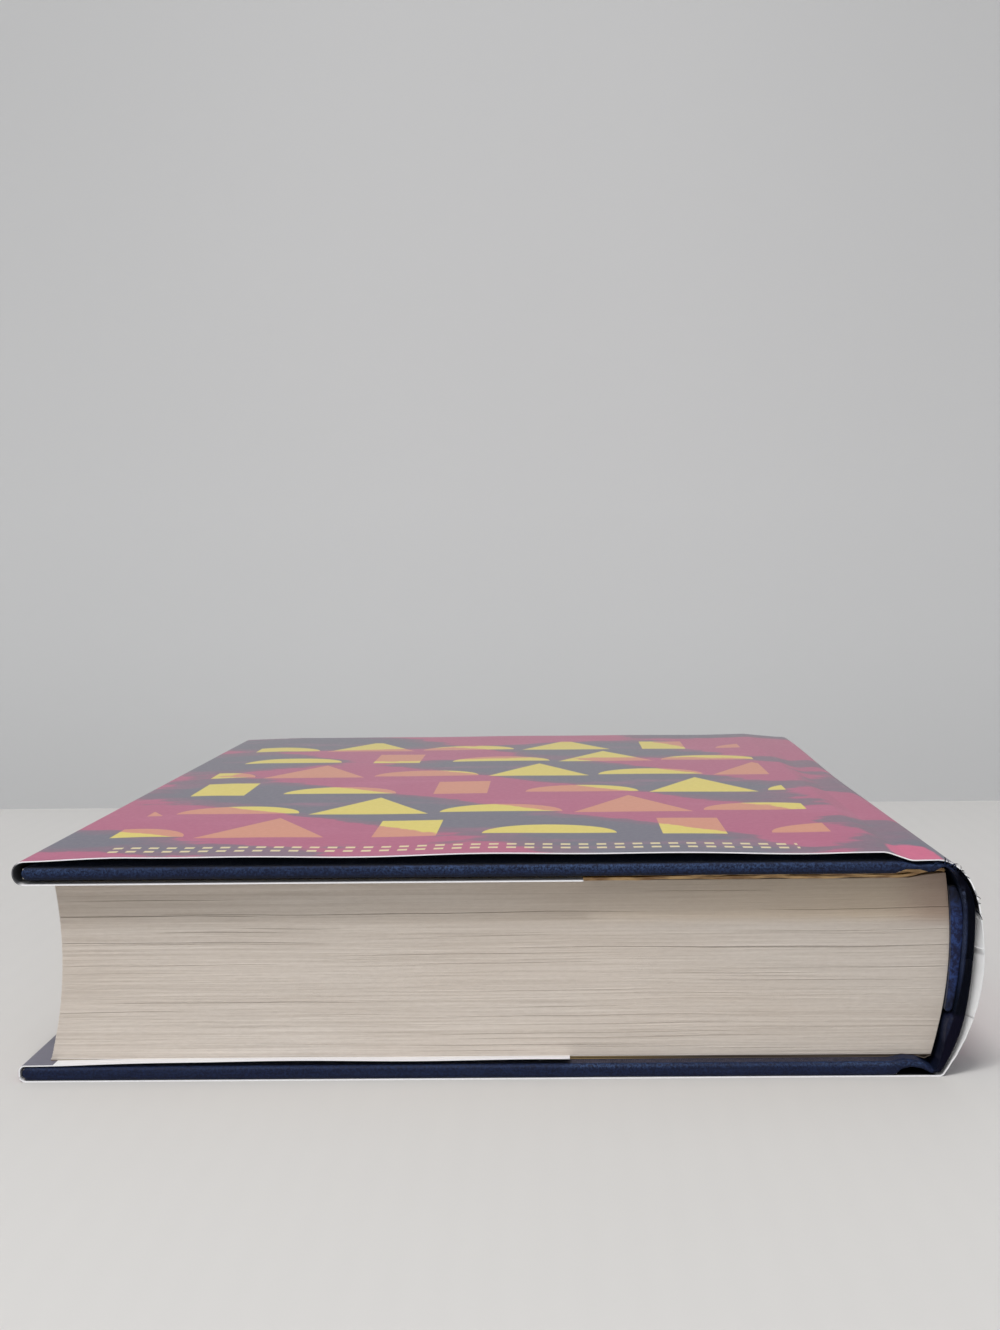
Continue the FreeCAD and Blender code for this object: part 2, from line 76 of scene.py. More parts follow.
def extent(node):
    """Lowest and highest corner of a CAD node, in millimetres."""
    low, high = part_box(node)
    return low / MM, high / MM


LEAVES_LOW, LEAVES_HIGH = extent("text_block")
CLOTH_LOW, CLOTH_HIGH = extent("cover_cloth_spine")
JACKET_LOW, JACKET_HIGH = extent("jacket_front")
FRONT_HINGE = hinge("front_cover_hinge")
BACK_HINGE = hinge("back_cover_hinge")

# Sizes below are in millimetres.
SAME = 1e-4               # Places closer than this are one place.
CORNER_SHARE = 0.48       # Most of a leg that the rounding of one corner may take up.
THIN_SHARE = 0.40         # Most of a bar's thickness that the rounding of its ends may take up.
RIM_STEPS = (0.0, 0.03, 0.1, 0.22, 0.4, 0.65, 1.0)    # Shares of a rim's depth.
LEAF_SEED, THREAD_SEED = 11, 5
FULL_TURN = 6.28          # Phases are drawn from 0 to this.
OPENED_GAPS = 44          # Gaps between leaves that may open, before four that always do.
THREADS = 16              # Frayed threads at the head of the front joint.
FORE_CORNER = -76.40      # Fore edge of the lowest leaf, and how far it slants and arches.
FORE_SLANT, FORE_ARCH = 1.20, 1.60
SPINE_CORNER = 73.10      # Spine of the lowest leaf, and how far it slants and arches.
SPINE_SLANT, SPINE_ARCH = 2.50, 1.65
BOARD_END = 66.0          # Where the boards end and the joints begin.
CLOTH_RIM = 0.75          # Rounding of the cloth's turned edges at head and tail.
BAND_RIM = 0.3
BAND_ENDS = (113.6, 115.60)
FRONT_FLAP, BACK_FLAP = 97.0, 94.0    # Run of each flap along its sheet, fold included.
PRINTED_PANEL = 148.5     # Run of the jacket's front panel that carries the shapes.


# ---- Settings -------------------------------------------------------------------------

def length(name, words, value):
    """A size, in metres."""
    return bpy.props.FloatProperty(name=name, description=words, default=value,
                                   subtype="DISTANCE", unit="LENGTH")


def colour(name, words, value):
    """A linear colour."""
    return bpy.props.FloatVectorProperty(
        name=name, description=words, subtype="COLOR", size=3, min=0, max=1, default=value)


class BookSizes(bpy.types.PropertyGroup):
    """Thickness of the sheets, and how the leaves lie."""
    leaf_count: bpy.props.IntProperty(
        name="Leaves", description="Number of leaves in the text block", default=224, min=20)
    leaf_notch: length("Leaf notch", "How far the gap between two leaves goes in", 0.00010)
    leaf_stray: length("Leaf stray", "How far a leaf's edge strays from its neighbours",
                       0.000032)
    jacket_paper: length("Jacket paper", "Thickness of the jacket", 0.0002)
    endpaper: length("Endpaper", "Thickness of an endpaper", 0.00015)


class BookColours(bpy.types.PropertyGroup):
    """Colours of the book's papers, cloth and print."""
    leaf: colour("Leaf", "Uncoated cream paper at the cut edge", (0.782, 0.726, 0.670))
    leaf_line: colour("Leaf line", "Shaded gap between leaves", (0.42, 0.36, 0.30))
    ochre: colour("Endpaper", "Dyed endpaper", (0.64, 0.46, 0.17))
    cloth: colour("Cloth", "Book cloth in the hollows of its weave", (0.0034, 0.0060, 0.0230))
    cloth_raised: colour("Cloth thread", "Raised threads of the cloth", (0.0102, 0.0190, 0.0600))
    slate: colour("Slate", "Ground of the jacket's print", (0.112, 0.106, 0.152))
    magenta: colour("Magenta", "Broad waves of the print", (0.43, 0.062, 0.165))
    yellow: colour("Yellow", "Shapes of the print", (0.76, 0.62, 0.095))
    coral: colour("Coral", "Shapes of the print where they cross a wave",
                  (0.66, 0.250, 0.145))
    cream: colour("Cream", "Small marks of the print", (0.78, 0.66, 0.36))
    white: colour("Jacket paper", "Unprinted side and cut edge of the jacket",
                  (0.90, 0.90, 0.92))


class StageSettings(bpy.types.PropertyGroup):
    """Colours and place of the table and the wall."""
    table: colour("Table", "Pale table", (0.676, 0.662, 0.645))
    wall: colour("Wall", "Pale wall behind the table", (0.53, 0.535, 0.54))
    wall_distance: length("Wall distance", "From the book's middle back to the wall", 0.265)


# ---- Materials ------------------------------------------------------------------------

def scaled(tint, factor):
    """A colour with its three channels multiplied."""
    return tuple(channel * factor for channel in tint)


def reckoning(operation):
    """A method that reckons with a signal and, if need be, another signal or a number."""
    return lambda self, *others: self.finish.math(operation, self, *others)


class Signal:
    """Output of a node, which can be reckoned with like a number."""

    def __init__(self, finish, socket):
        self.finish = finish
        self.socket = socket

    __add__ = reckoning("ADD")
    __sub__ = reckoning("SUBTRACT")
    __mul__ = reckoning("MULTIPLY")
    __truediv__ = reckoning("DIVIDE")
    __mod__ = reckoning("MODULO")
    __lt__ = reckoning("LESS_THAN")
    __gt__ = reckoning("GREATER_THAN")
    __abs__ = reckoning("ABSOLUTE")
    larger = reckoning("MAXIMUM")
    floor = reckoning("FLOOR")
    fraction = reckoning("FRACT")
    root = reckoning("SQRT")
    sine = reckoning("SINE")

    def __rsub__(self, other):
        return self.finish.math("SUBTRACT", other, self)

    def between(self, low, high):
        """1 where this is above low and below high, else 0."""
        return (self > low) * (self < high)

    def wave(self, length):
        """Sine with this length from crest to crest."""
        return (self * (2 * math.pi / length)).sine()

    def span(self, low, high, to_low=0.0, to_high=1.0, smooth=False):
        """Map the range low to high onto another range, and stop at its ends."""
        return self.finish.node("ShaderNodeMapRange",
                                {"Value": self, "From Min": low, "From Max": high,
                                 "To Min": to_low, "To Max": to_high},
                                interpolation_type="SMOOTHSTEP" if smooth else "LINEAR")

    def ease(self, low, high, to_low=0.0, to_high=1.0):
        """Map one range onto another with soft ends."""
        return self.span(low, high, to_low, to_high, smooth=True)


class Finish:
    """A procedural material, built node by node.  Places and lengths in it are metres."""

    def __init__(self, name, roughness=0.6):
        self.material = bpy.data.materials.new(name)
        self.material.use_nodes = True
        self.tree = self.material.node_tree
        self.shader = self.tree.nodes["Principled BSDF"]
        self.body = None
        self.set("Roughness", roughness)

    def set(self, socket, value):
        """Give the shader a value that is the same all over."""
        self.shader.inputs[socket].default_value = value

    def feed(self, socket, source):
        """Give the shader a value that varies."""
        self.tree.links.new(source.socket, self.shader.inputs[socket])

    def node(self, kind, inputs=(), output=0, **settings):
        """Add a node, and fill its inputs with numbers or with other nodes' outputs."""
        made = self.tree.nodes.new(kind)
        for key, value in settings.items():
            setattr(made, key, value)
        for key, value in dict(inputs).items():
            if isinstance(value, Signal):
                self.tree.links.new(value.socket, made.inputs[key])
            else:
                made.inputs[key].default_value = value
        return Signal(self, made.outputs[output])

    def math(self, operation, *numbers):
        """Reckon with numbers or with other nodes' outputs."""
        return self.node("ShaderNodeMath", dict(enumerate(numbers)), operation=operation)

    def axes(self, kind="Object"):
        """Object coordinates, or the UV map: the whole vector, then its three parts."""
        place = self.node("ShaderNodeTexCoord", output=kind)
        parts = self.tree.nodes.new("ShaderNodeSeparateXYZ")
        self.tree.links.new(place.socket, parts.inputs[0])
        return (place, *(Signal(self, socket) for socket in parts.outputs))

    def noise(self, vector, scale, detail=2.0, rough=0.5):
        """Noise at a scale, or at three along x, y and z."""
        if isinstance(scale, tuple):
            vector = self.node("ShaderNodeMapping", {"Vector": vector, "Scale": scale})
            scale = 1.0
        return self.node("ShaderNodeTexNoise", {"Vector": vector, "Scale": scale,
                                                "Detail": detail, "Roughness": rough})

    def mix(self, share, first, second):
        """A colour between two colours."""
        colours = {6: first, 7: second}
        for key, value in colours.items():
            if not isinstance(value, Signal):
                colours[key] = (*tuple(value), 1.0)
        return self.node("ShaderNodeMix", {0: share, **colours}, output=2, data_type="RGBA")

    def lay(self, share, tint):
        """Lay a tint over the body colour, as strongly as share says."""
        self.body = self.mix(share, self.body, tint)

    def bump(self, height, depth, strength=1.0):
        """Roughen the surface by a height."""
        self.feed("Normal", self.node("ShaderNodeBump", {
            "Height": height, "Distance": depth, "Strength": strength}))

    def done(self):
        """Give the shader its body colour, and hand over the material."""
        self.feed("Base Color", self.body)
        return self.material


def lay_fibres(paper, place, scale, tint, dark):
    """Give an unprinted paper its tint, with a fine grain of darker fibres."""
    grain = paper.noise(place, scale, 3, 0.65)
    paper.body = paper.mix(grain.span(0.3, 0.7), tint, scaled(tint, dark))
    paper.bump(grain, 0.00003, 0.5)


def leaf_edge_finish(colours):
    """Cut edges of many leaves: fine lines along each leaf, and painted shade that is warmer
    towards the top.
    """
    paper = Finish("leaf_edges", 0.85)
    place, x, y, z = paper.axes()
    fine = paper.noise(place, (34, 34, 4300), 3, 0.7)
    group = paper.noise(place, (14, 14, 2300), 2, 0.6)
    fleck = paper.noise(place, (700, 700, 2600), 2, 0.6)
    broad = paper.noise(place, (18, 18, 70), 2, 0.5)
    # Fine lines of painted shade in the gaps between the leaves.
    lines = group.span(0.34, 0.60, 1.0, 0.0) * 0.18
    threads = fine.span(0.34, 0.58, 0.8, 0.0) * 0.29
    shade = (lines + threads) * x.span(-0.02, 0.07, 1.0, 0.55)
    shade = shade + fleck.span(0.35, 0.65, -0.05, 0.05)
    paper.body = paper.mix(shade, colours.leaf, colours.leaf_line)
    paper.lay(broad.span(0.3, 0.7, 0.0, 0.25), (0.66, 0.565, 0.475))
    # Painted shade: dimmer towards the top and towards the spine.
    dim = z.span(0.008, 0.026, 0.0, 0.05) + z.span(0.0205, 0.0255, 0.0, 0.045)
    paper.lay(dim + x.span(0.020, 0.076, 0.0, 0.11), (0.12, 0.11, 0.10))
    # Painted shade over the top leaves, browner and stronger towards the spine, and in the corner
    # beside the headband.
    upper_shade = z.ease(0.0248, 0.0272) * x.span(-0.010, 0.060, 0.10, 0.50)
    paper.lay(upper_shade, (0.56, 0.45, 0.32))
    corner = z.ease(0.0235, 0.0275) * x.ease(0.064, 0.075) * 0.50
    paper.lay(corner, (0.33, 0.22, 0.18))
    paper.bump(group * 0.6 + fine, 0.00006, 0.5)
    paper.set("Specular IOR Level", 0.2)
    return paper.done()


def endpaper_finish(colours):
    """Dyed wove paper, tanned at the head and tail edges of the front sheets, with painted shade
    along the head and tail edges of the back sheets.
    """
    paper = Finish("ochre_endpaper", 0.78)
    place, x, y, z = paper.axes()
    grain = paper.noise(place, 2600, 3, 0.6)
    cloud = paper.noise(place, 45, 2, 0.5)
    paper.body = paper.mix(cloud.span(0.3, 0.7, 0.0, 0.30), colours.ochre, (0.56, 0.30, 0.08))
    paper.lay(grain.span(0.35, 0.65, 0.0, 0.25), (0.34, 0.21, 0.05))
    # Painted shade along the head and tail edges of the back sheets, deeper towards the spine.
    edge_shade = abs(y).span(0.1125, 0.1138) * z.span(0.006, 0.005, 0.0, 1.0)
    edge_shade = edge_shade * x.span(0.016, 0.034, 0.58, 0.94)
    paper.lay(edge_shade, (0.075, 0.062, 0.060))
    tanned = abs(y).span(0.1140, 0.1144) * z.span(0.030, 0.031)
    patch = paper.noise(place, (210, 210, 1500), 3, 0.6).span(0.38, 0.60, 0.0, 0.85)
    paper.lay(tanned, (0.66, 0.44, 0.21))
    paper.lay(tanned * patch, (0.22, 0.115, 0.055))
    paper.bump(grain, 0.00003, 0.5)
    paper.set("Specular IOR Level", 0.25)
    return paper.done()


def cloth_finish(colours):
    """Closely woven book cloth, with painted highlights along the boards' edges and painted shade
    where other parts cover it.
    """
    cloth = Finish("navy_cloth", 0.55)
    place, x, y, z = cloth.axes()
    thread = 0.00030
    shift = cloth.noise(place, 900, 2, 0.5) * 0.0002
    across = (x + shift).wave(thread)
    along = (y + shift).wave(thread)
    rise = (z + shift).wave(thread)
    weave = (across + rise) * along + across * rise
    weave = weave * cloth.noise(place, 420, 2, 0.6).span(0.35, 0.65)
    grain = cloth.noise(place, 2600, 4, 0.75)
    raised = (weave * 0.06 + grain).span(0.42, 0.64)
    cloth.body = cloth.mix(raised, colours.cloth, colours.cloth_raised)
    rub = cloth.noise(place, (60, 60, 900), 3, 0.6)
    cloth.lay(rub.span(0.5, 0.8, 0.0, 0.20), (0.025, 0.040, 0.095))
    # Painted highlight along the boards' rounded edges at head and tail.
    front_edge = z.ease(0.0350, 0.0357) * z.span(0.0361, 0.0365, 1.0, 0.0)
    back_edge = z.ease(0.0016, 0.0022) * z.span(0.0024, 0.0026, 1.0, 0.3)
    edge_highlight = abs(y).span(0.1166, 0.1174) * front_edge.larger(back_edge)
    edge_highlight = edge_highlight * cloth.noise(place, 30, 3, 0.6).span(0.3, 0.6, 0.10, 0.60)
    edge_highlight = edge_highlight * z.span(0.004, 0.020).larger(x.span(0.010, 0.014, 0.25, 1.0))
    cloth.lay(edge_highlight * raised, (0.060, 0.110, 0.240))
    # Nearly black in the shade of the jacket's back, outside the bent spine line.
    drop = 0.026 - z
    inset = 0.0799 - drop * drop * 9.2 - x
    shaded = inset.ease(0.00115, 0.00150, 0.95, 0.0) * x.span(0.0700, 0.0745)
    shaded = shaded.larger(z.ease(0.0285, 0.0300) * x.span(0.0762, 0.0772))
    cloth.lay(shaded, (0.0016, 0.0018, 0.0034))
    # Painted highlight: a thin lighter line just inside the dark band, along the inner edge of
    # the spine's cloth.
    lining = inset.ease(0.00138, 0.00158) * z.ease(0.0150, 0.0175)
    lining = lining * z.span(0.0310, 0.0325, 1.0, 0.0) * x.span(0.0745, 0.0755)
    cloth.lay(lining * raised, (0.075, 0.095, 0.165))
    # Dark on top and underneath, where the jacket and the leaves shade the front board.
    cloth.lay(z.span(0.0362, 0.0364, 0.0, 0.93), (0.0012, 0.0012, 0.0016))
    under = z.span(0.0351, 0.0344, 0.0, 0.65) * z.span(0.030, 0.032)
    cloth.lay(under, (0.0030, 0.0030, 0.0070))
    # Painted shade on the spine's cloth below the lower end of the headband.
    foot = z.span(0.0106, 0.0100, 0.0, 0.6) * x.span(0.0732, 0.0742)
    cloth.lay(foot, (0.006, 0.005, 0.014))
    # Painted light: the turn-in's top face on the back board is lighter and greyer.
    turned_in = z.span(0.00236, 0.00248) * abs(y).span(0.1173, 0.1168)
    turned_in = turned_in * x.span(0.062, 0.068, 0.75, 0.2) * z.span(0.0028, 0.0034, 1.0, 0.0)
    lit_grey = cloth.mix(raised, (0.012, 0.011, 0.018), (0.105, 0.092, 0.115))
    cloth.lay(turned_in, lit_grey)
    # Painted shade on the turn-in where the jacket's back flap covers it.
    hidden = turned_in * x.span(0.0115, 0.0125, 1.0, 0.0)
    cloth.lay(hidden, (0.002, 0.002, 0.004))
    cloth.feed("Roughness", grain.span(0.3, 0.7, 0.42, 0.72))
    cloth.bump(weave * 0.12 + grain, 0.00007, 0.8)
    cloth.feed("Specular IOR Level", shaded.span(0, 1, 0.16, 0.02))
    cloth.set("Sheen Weight", 0.05)
    cloth.set("Sheen Roughness", 0.4)
    cloth.set("Sheen Tint", (0.25, 0.38, 0.75, 1.0))
    return cloth.done()


def band_finish():
    """Wrapped thread of a headband, with painted shade towards both ends."""
    band = Finish("headband_thread", 0.6)
    place, x, y, z = band.axes()
    stray = band.noise(place, 700, 2, 0.6) * 0.0006
    ply = (z + stray + x * 0.6).wave(0.00085)
    grain = band.noise(place, 1700, 3, 0.7)
    blot = band.noise(place, 850, 2, 0.6)
    tone = (ply * 0.008 + (grain + blot) * 0.5).span(0.43, 0.60)
    band.body = band.mix(tone, (0.003, 0.006, 0.036), (0.020, 0.046, 0.165))
    # Painted shade towards both ends of the band.
    band.lay(z.span(0.0165, 0.0115, 0.0, 0.75), (0.004, 0.006, 0.018))
    band.lay(z.span(0.0270, 0.0300, 0.0, 0.80), (0.003, 0.005, 0.016))
    band.bump(ply * 0.02 + grain, 0.00012, 0.9)
    band.set("Specular IOR Level", 0.25)
    band.set("Sheen Weight", 0.08)
    return band.done()


def print_shapes(u, v, panel):
    """Rows of half discs, peaks and bars on the front panel: 1 inside a shape, 0 outside."""
    row_pitch, column_pitch = 0.0335, 0.0262
    row_place = (v + 0.0985) / row_pitch
    row = row_place.floor()
    column_place = u / column_pitch + (row * 0.37) % 1.0
    column = column_place.floor()
    across = (column_place.fraction() - 0.5) * column_pitch
    along = row_place.fraction() * row_pitch
    base = along - 0.006
    disc = (across * across + base * base).root()
    half_disc = (disc < 0.0122) * (along > 0.006)
    width = abs(across)
    peak = (width + along * 0.42 < 0.0135) * (along > 0.004)
    bar_shape = (width < 0.0058) * (abs(along - 0.0155) < 0.0115)
    # Which of the three stands here.
    pick = (row * 0.731 + column * 0.457).fraction()
    shape = half_disc * (pick < 0.45) + peak * pick.between(0.45, 0.78)
    shape = shape + bar_shape * (pick > 0.78)
    inside = u.between(0.012, panel - 0.006) * (abs(v) < 0.0985)
    return shape * inside


def print_marks(u, v, panel):
    """Two rows of small marks near the head: 1 inside a mark, 0 outside."""
    mark_u = abs((u / 0.0031).fraction() - 0.5)
    mark_v = abs(((v + 0.1135) / 0.0042).fraction() - 0.5)
    marks = (mark_u < 0.27) * (mark_v < 0.22)
    return marks * (v.between(-0.1135, -0.1051) * u.between(0.016, panel - 0.014))


def jacket_print_finish(colours, total, panel):
    """Printed side of the jacket.

    u runs along the sheet from the front fold (0) over the spine to the back fold
    (total), and below 0 and above total on the flaps; v runs from head to tail.
    """
    ink = Finish("jacket_print", 0.42)
    sheet, u, v, w = ink.axes("UV")
    flat = ink.node("ShaderNodeCombineXYZ", {0: u, 1: v, 2: 0.0})

    def ring_wave(centre_u, centre_v, pitch, shift):
        du, dv = u - centre_u, v - centre_v
        reach = (du * du + dv * dv).root()
        swirl = ink.noise(flat, 9, 0, 0.5) * 5.0
        return (reach * (2 * math.pi / pitch) + swirl + shift).sine()

    waves = ring_wave(-0.02, -0.16, 0.062, 0.4) + ring_wave(0.19, 0.05, 0.085, 1.7)
    waves = waves + ink.noise(flat, 130, 3, 0.7).span(0.3, 0.7, -0.10, 0.10)
    streak = ink.noise(flat, (26, 60, 1), 4, 0.65)
    brushed = waves + streak.span(0.3, 0.7, -0.45, 0.45)
    plum = ink.mix(brushed.ease(-0.80, -0.10, 0.0, 0.60), colours.slate, (0.225, 0.080, 0.145))
    ground = ink.mix(brushed.span(-0.02, 0.14), plum, colours.magenta)
    ground = ink.mix(streak.span(0.55, 0.80, 0.0, 0.55), ground, (0.52, 0.130, 0.260))
    # A bright smear over the joint near the head.
    smear_u = (u - 0.1538) / 0.0046
    smear_v = (v + 0.1125) / 0.0130
    smear = smear_u * smear_u + smear_v * smear_v + streak.span(0.3, 0.7, 0.35, -0.35)
    ground = ink.mix(smear.span(0.75, 1.0, 1.0, 0.0), ground, (0.62, 0.075, 0.200))
    figure = ink.mix(waves.span(0.02, 0.07), colours.yellow, colours.coral)
    ink.body = ink.mix(print_shapes(u, v, panel), ground, figure)
    ink.lay(print_marks(u, v, panel), colours.cream)
    # Flaps: a strip of the ground wraps round each fold, and the rest is white.
    strip = 0.0068
    flap = (u < -strip).larger(u > total + strip)
    edge = (u < 0.0).larger(u > total)
    ink.lay(edge, colours.slate)
    ink.lay(flap, colours.white)
    mottle = ink.noise(sheet, 900, 3, 0.6)
    ink.lay(mottle.span(0.3, 0.7, 0.0, 0.10), (0.42, 0.42, 0.45))
    # Painted reflection: the printed panels grow paler towards the tail, where the light grazes
    # them.
    grazing_reflection = v.span(-0.12, 0.12, 0.0, 0.16) * (1.0 - flap)
    ink.lay(grazing_reflection, (0.50, 0.46, 0.45))
    ink.feed("Roughness", mottle.span(0.3, 0.7, 0.36, 0.46))
    ink.bump(ink.noise(sheet, 260, 2, 0.5), 0.00003, 0.4)
    ink.set("Specular IOR Level", 0.5)
    return ink.done()


def jacket_inside_finish(colours):
    """Unprinted side of the jacket, with painted shade inside the front fold and where it is
    drawn in, and painted light inside its spine.
    """
    paper = Finish("jacket_white", 0.6)
    place, x, y, z = paper.axes()
    sheet, u, v, w = paper.axes("UV")
    lay_fibres(paper, place, 1800, colours.white, 0.9)
    # Painted shade inside the front fold.
    fold = abs(u).ease(0.0016, 0.0030, 0.92, 0.0)
    paper.lay(fold, (0.012, 0.013, 0.018))
    # Painted light: the inside of the jacket's spine is whiter and bluer.
    paper.lay(x.span(0.0755, 0.0765), (0.97, 0.98, 1.0))
    # Painted shade away from the cut edges, under the back joint and behind the front joint.
    within = abs(y).ease(0.1178, 0.1174)
    joint = x.ease(0.0650, 0.0665) * x.ease(0.0728, 0.0738, 1.0, 0.0)
    joint = joint * z.span(0.0010, 0.0016, 1.0, 0.0) * within
    paper.lay(joint, (0.010, 0.010, 0.014))
    corner = x.ease(0.0735, 0.0750) * z.ease(0.0262, 0.0285) * within
    paper.lay(corner, (0.008, 0.008, 0.012))
    # Chips in the cut edge over the joint.
    chips = paper.noise(place, 1100, 2, 0.6).span(0.52, 0.56) * abs(y).span(0.1176, 0.1179)
    chips = chips * (x.span(0.0740, 0.0765) * z.span(0.0262, 0.0285))
    paper.lay(chips, (0.012, 0.012, 0.020))
    # Light passes through the bare spine of the jacket.
    paper.feed("Subsurface Weight", x.span(0.0745, 0.0765, 0.0, 0.9) * z.span(0.026, 0.028, 1, 0))
    paper.set("Subsurface Radius", (1.0, 1.0, 1.0))
    paper.set("Subsurface Scale", 0.0006)
    return paper.done()


def plain_paper_finish(name, tint, grain_scale):
    """Unprinted board, card or paper with a fine fibre grain."""
    paper = Finish(name, 0.8)
    lay_fibres(paper, paper.axes()[0], grain_scale, tint, 0.86)
    return paper.done()


def gauze_finish():
    """Open gauze set in glue."""
    gauze = Finish("spine_gauze", 0.75)
    place, x, y, z = gauze.axes()
    mesh_width = 0.0011
    net = y.wave(mesh_width).larger(z.wave(mesh_width))
    gauze.body = gauze.mix(net.span(0.2, 0.7), (0.42, 0.35, 0.24), (0.72, 0.68, 0.60))
    gauze.bump(net, 0.0001, 0.7)
    return gauze.done()


# ---- Mesh tools -----------------------------------------------------------------------

def smooth_step(value):
    """Ease from 0 to 1."""
    value = min(1.0, max(0.0, value))
    return value * value * (3 - 2 * value)


def ripple(value, length, phase):
    """A wave between -1 and 1, of this length from crest to crest."""
    return math.sin(2 * math.pi * value / length + phase)


def steps(low, high, count):
    """The places that part a stretch into count equal pieces, without its ends."""
    return [low + (high - low) * k / count for k in range(1, count)]


def linked(name, data):
    """An object with this data, put into the scene."""
    made = bpy.data.objects.new(name, data)
    bpy.context.collection.objects.link(made)
    return made


def solid_from(name, mesh, materials, smooth):
    """Turn a bmesh into an object."""
    data = bpy.data.meshes.new(name)
    mesh.to_mesh(data)
    mesh.free()
    for material in materials:
        data.materials.append(material)
    for face in data.polygons:
        face.use_smooth = smooth
    return linked(name, data)


def finished(name, mesh, materials, body=None, replaced=(), smooth=True):
    """Turn a bmesh in millimetres into a finished piece, in metres, at the origin."""
    bmesh.ops.scale(mesh, vec=(MM, MM, MM), verts=mesh.verts)
    piece = solid_from(name, mesh, materials, smooth)
    if body:
        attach(piece, body)
    if replaced:
        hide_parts(*replaced)
    return piece


def bend_with_cover(piece):
    """Bake a piece's transform into its mesh."""
    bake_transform(piece)


def solidify(piece, thickness, side=0.0, inner=0):
    """Give a sheet its thickness.  inner is the material of its inner side and rim."""
    sheet = piece.modifiers.new("Paper", "SOLIDIFY")
    sheet.thickness = thickness
    sheet.offset = side
    sheet.use_even_offset = True
    sheet.material_offset = inner
    sheet.material_offset_rim = inner


def keep_rims_crisp(mesh):
    """Stop smooth shading from running round the cut edges of a sheet."""
    for edge in mesh.edges:
        if edge.is_boundary:
            edge.smooth = False


def slice_mesh(mesh, axis, places):
    """Cut a mesh across an axis at each place, so that it can be shaped there."""
    normal = [0, 0, 0]
    normal[axis] = 1
    for place in places:
        point = [0, 0, 0]
        point[axis] = place
        everything = mesh.verts[:] + mesh.edges[:] + mesh.faces[:]
        bmesh.ops.bisect_plane(mesh, geom=everything, plane_co=point, plane_no=normal)


def pull_face(mesh, face, keep=False):
    """Extrude a face in place, and return the new one.  The old one goes, unless kept."""
    made = bmesh.ops.extrude_face_region(mesh, geom=[face])["geom"]
    fresh = next(part for part in made if isinstance(part, bmesh.types.BMFace))
    if face.is_valid and not keep:
        mesh.faces.remove(face)
    return fresh


def bend_at(corners, index):
    """How far before a corner its rounding starts, and the angle that the line turns."""
    x, z, radius = corners[index]
    here = Vector((x, z))
    before = Vector(corners[index - 1][:2]) - here
    after = Vector(corners[(index + 1) % len(corners)][:2]) - here
    turn = math.pi - before.angle(after)
    reach = min(radius * math.tan(turn / 2), before.length * CORNER_SHARE,
                after.length * CORNER_SHARE)
    return reach, turn


def folded_sheet(corners, low, high):
    """A sheet without thickness that follows corners (x, z, radius) from y low to high."""
    mesh = bmesh.new()
    line = [mesh.verts.new((x, low, z)) for x, z, radius in corners]
    edges = [mesh.edges.new(pair) for pair in zip(line, line[1:])]
    pulled = bmesh.ops.extrude_edge_only(mesh, edges=edges)
    moved = [part for part in pulled["geom"] if isinstance(part, bmesh.types.BMVert)]
    bmesh.ops.translate(mesh, verts=moved, vec=(0, high - low, 0))
    for index, (x, z, radius) in enumerate(corners[:-1]):
        if not radius or not index:
            continue
        edges = [edge for edge in mesh.edges if all(
            abs(vert.co.x - x) < SAME and abs(vert.co.z - z) < SAME for vert in edge.verts)]
        bmesh.ops.bevel(mesh, geom=edges, offset=bend_at(corners, index)[0], segments=6,
                        offset_type="OFFSET", profile=0.5, affect="EDGES", material=-1)
    return mesh


def rounded_outline(corners, y):
    """A flat face whose corners (x, z, radius) are rounded."""
    finest_turn = 0.12
    mesh = bmesh.new()
    line = [mesh.verts.new((x, y, z)) for x, z, radius in corners]
    mesh.faces.new(line)
    for index, (x, z, radius) in enumerate(corners):
        if not radius:
            continue
        reach, turn = bend_at(corners, index)
        bmesh.ops.bevel(mesh, geom=[line[index]], offset=reach, offset_type="OFFSET",
                        segments=max(2, min(6, int(turn / finest_turn))), profile=0.5,
                        affect="VERTICES", material=-1)
    return mesh


def room_inside(points, index, inward):
    """How thick an outline is at one of its points, measured along its inward normal."""
    here = points[index]
    nearest = 50.0    # More than any outline is thick.
    count = len(points)
    for other in range(count):
        if other in (index, (index - 1) % count):
            continue
        first, second = points[other], points[(other + 1) % count]
        side = second - first
        cross = inward.x * side.y - inward.y * side.x
        if abs(cross) < 1e-9:
            continue
        gap = first - here
        reach = (gap.x * side.y - gap.y * side.x) / cross
        share = (gap.x * inward.y - gap.y * inward.x) / cross
        if SAME < reach < nearest and -1e-6 <= share <= 1 + 1e-6:
            nearest = reach
    return nearest


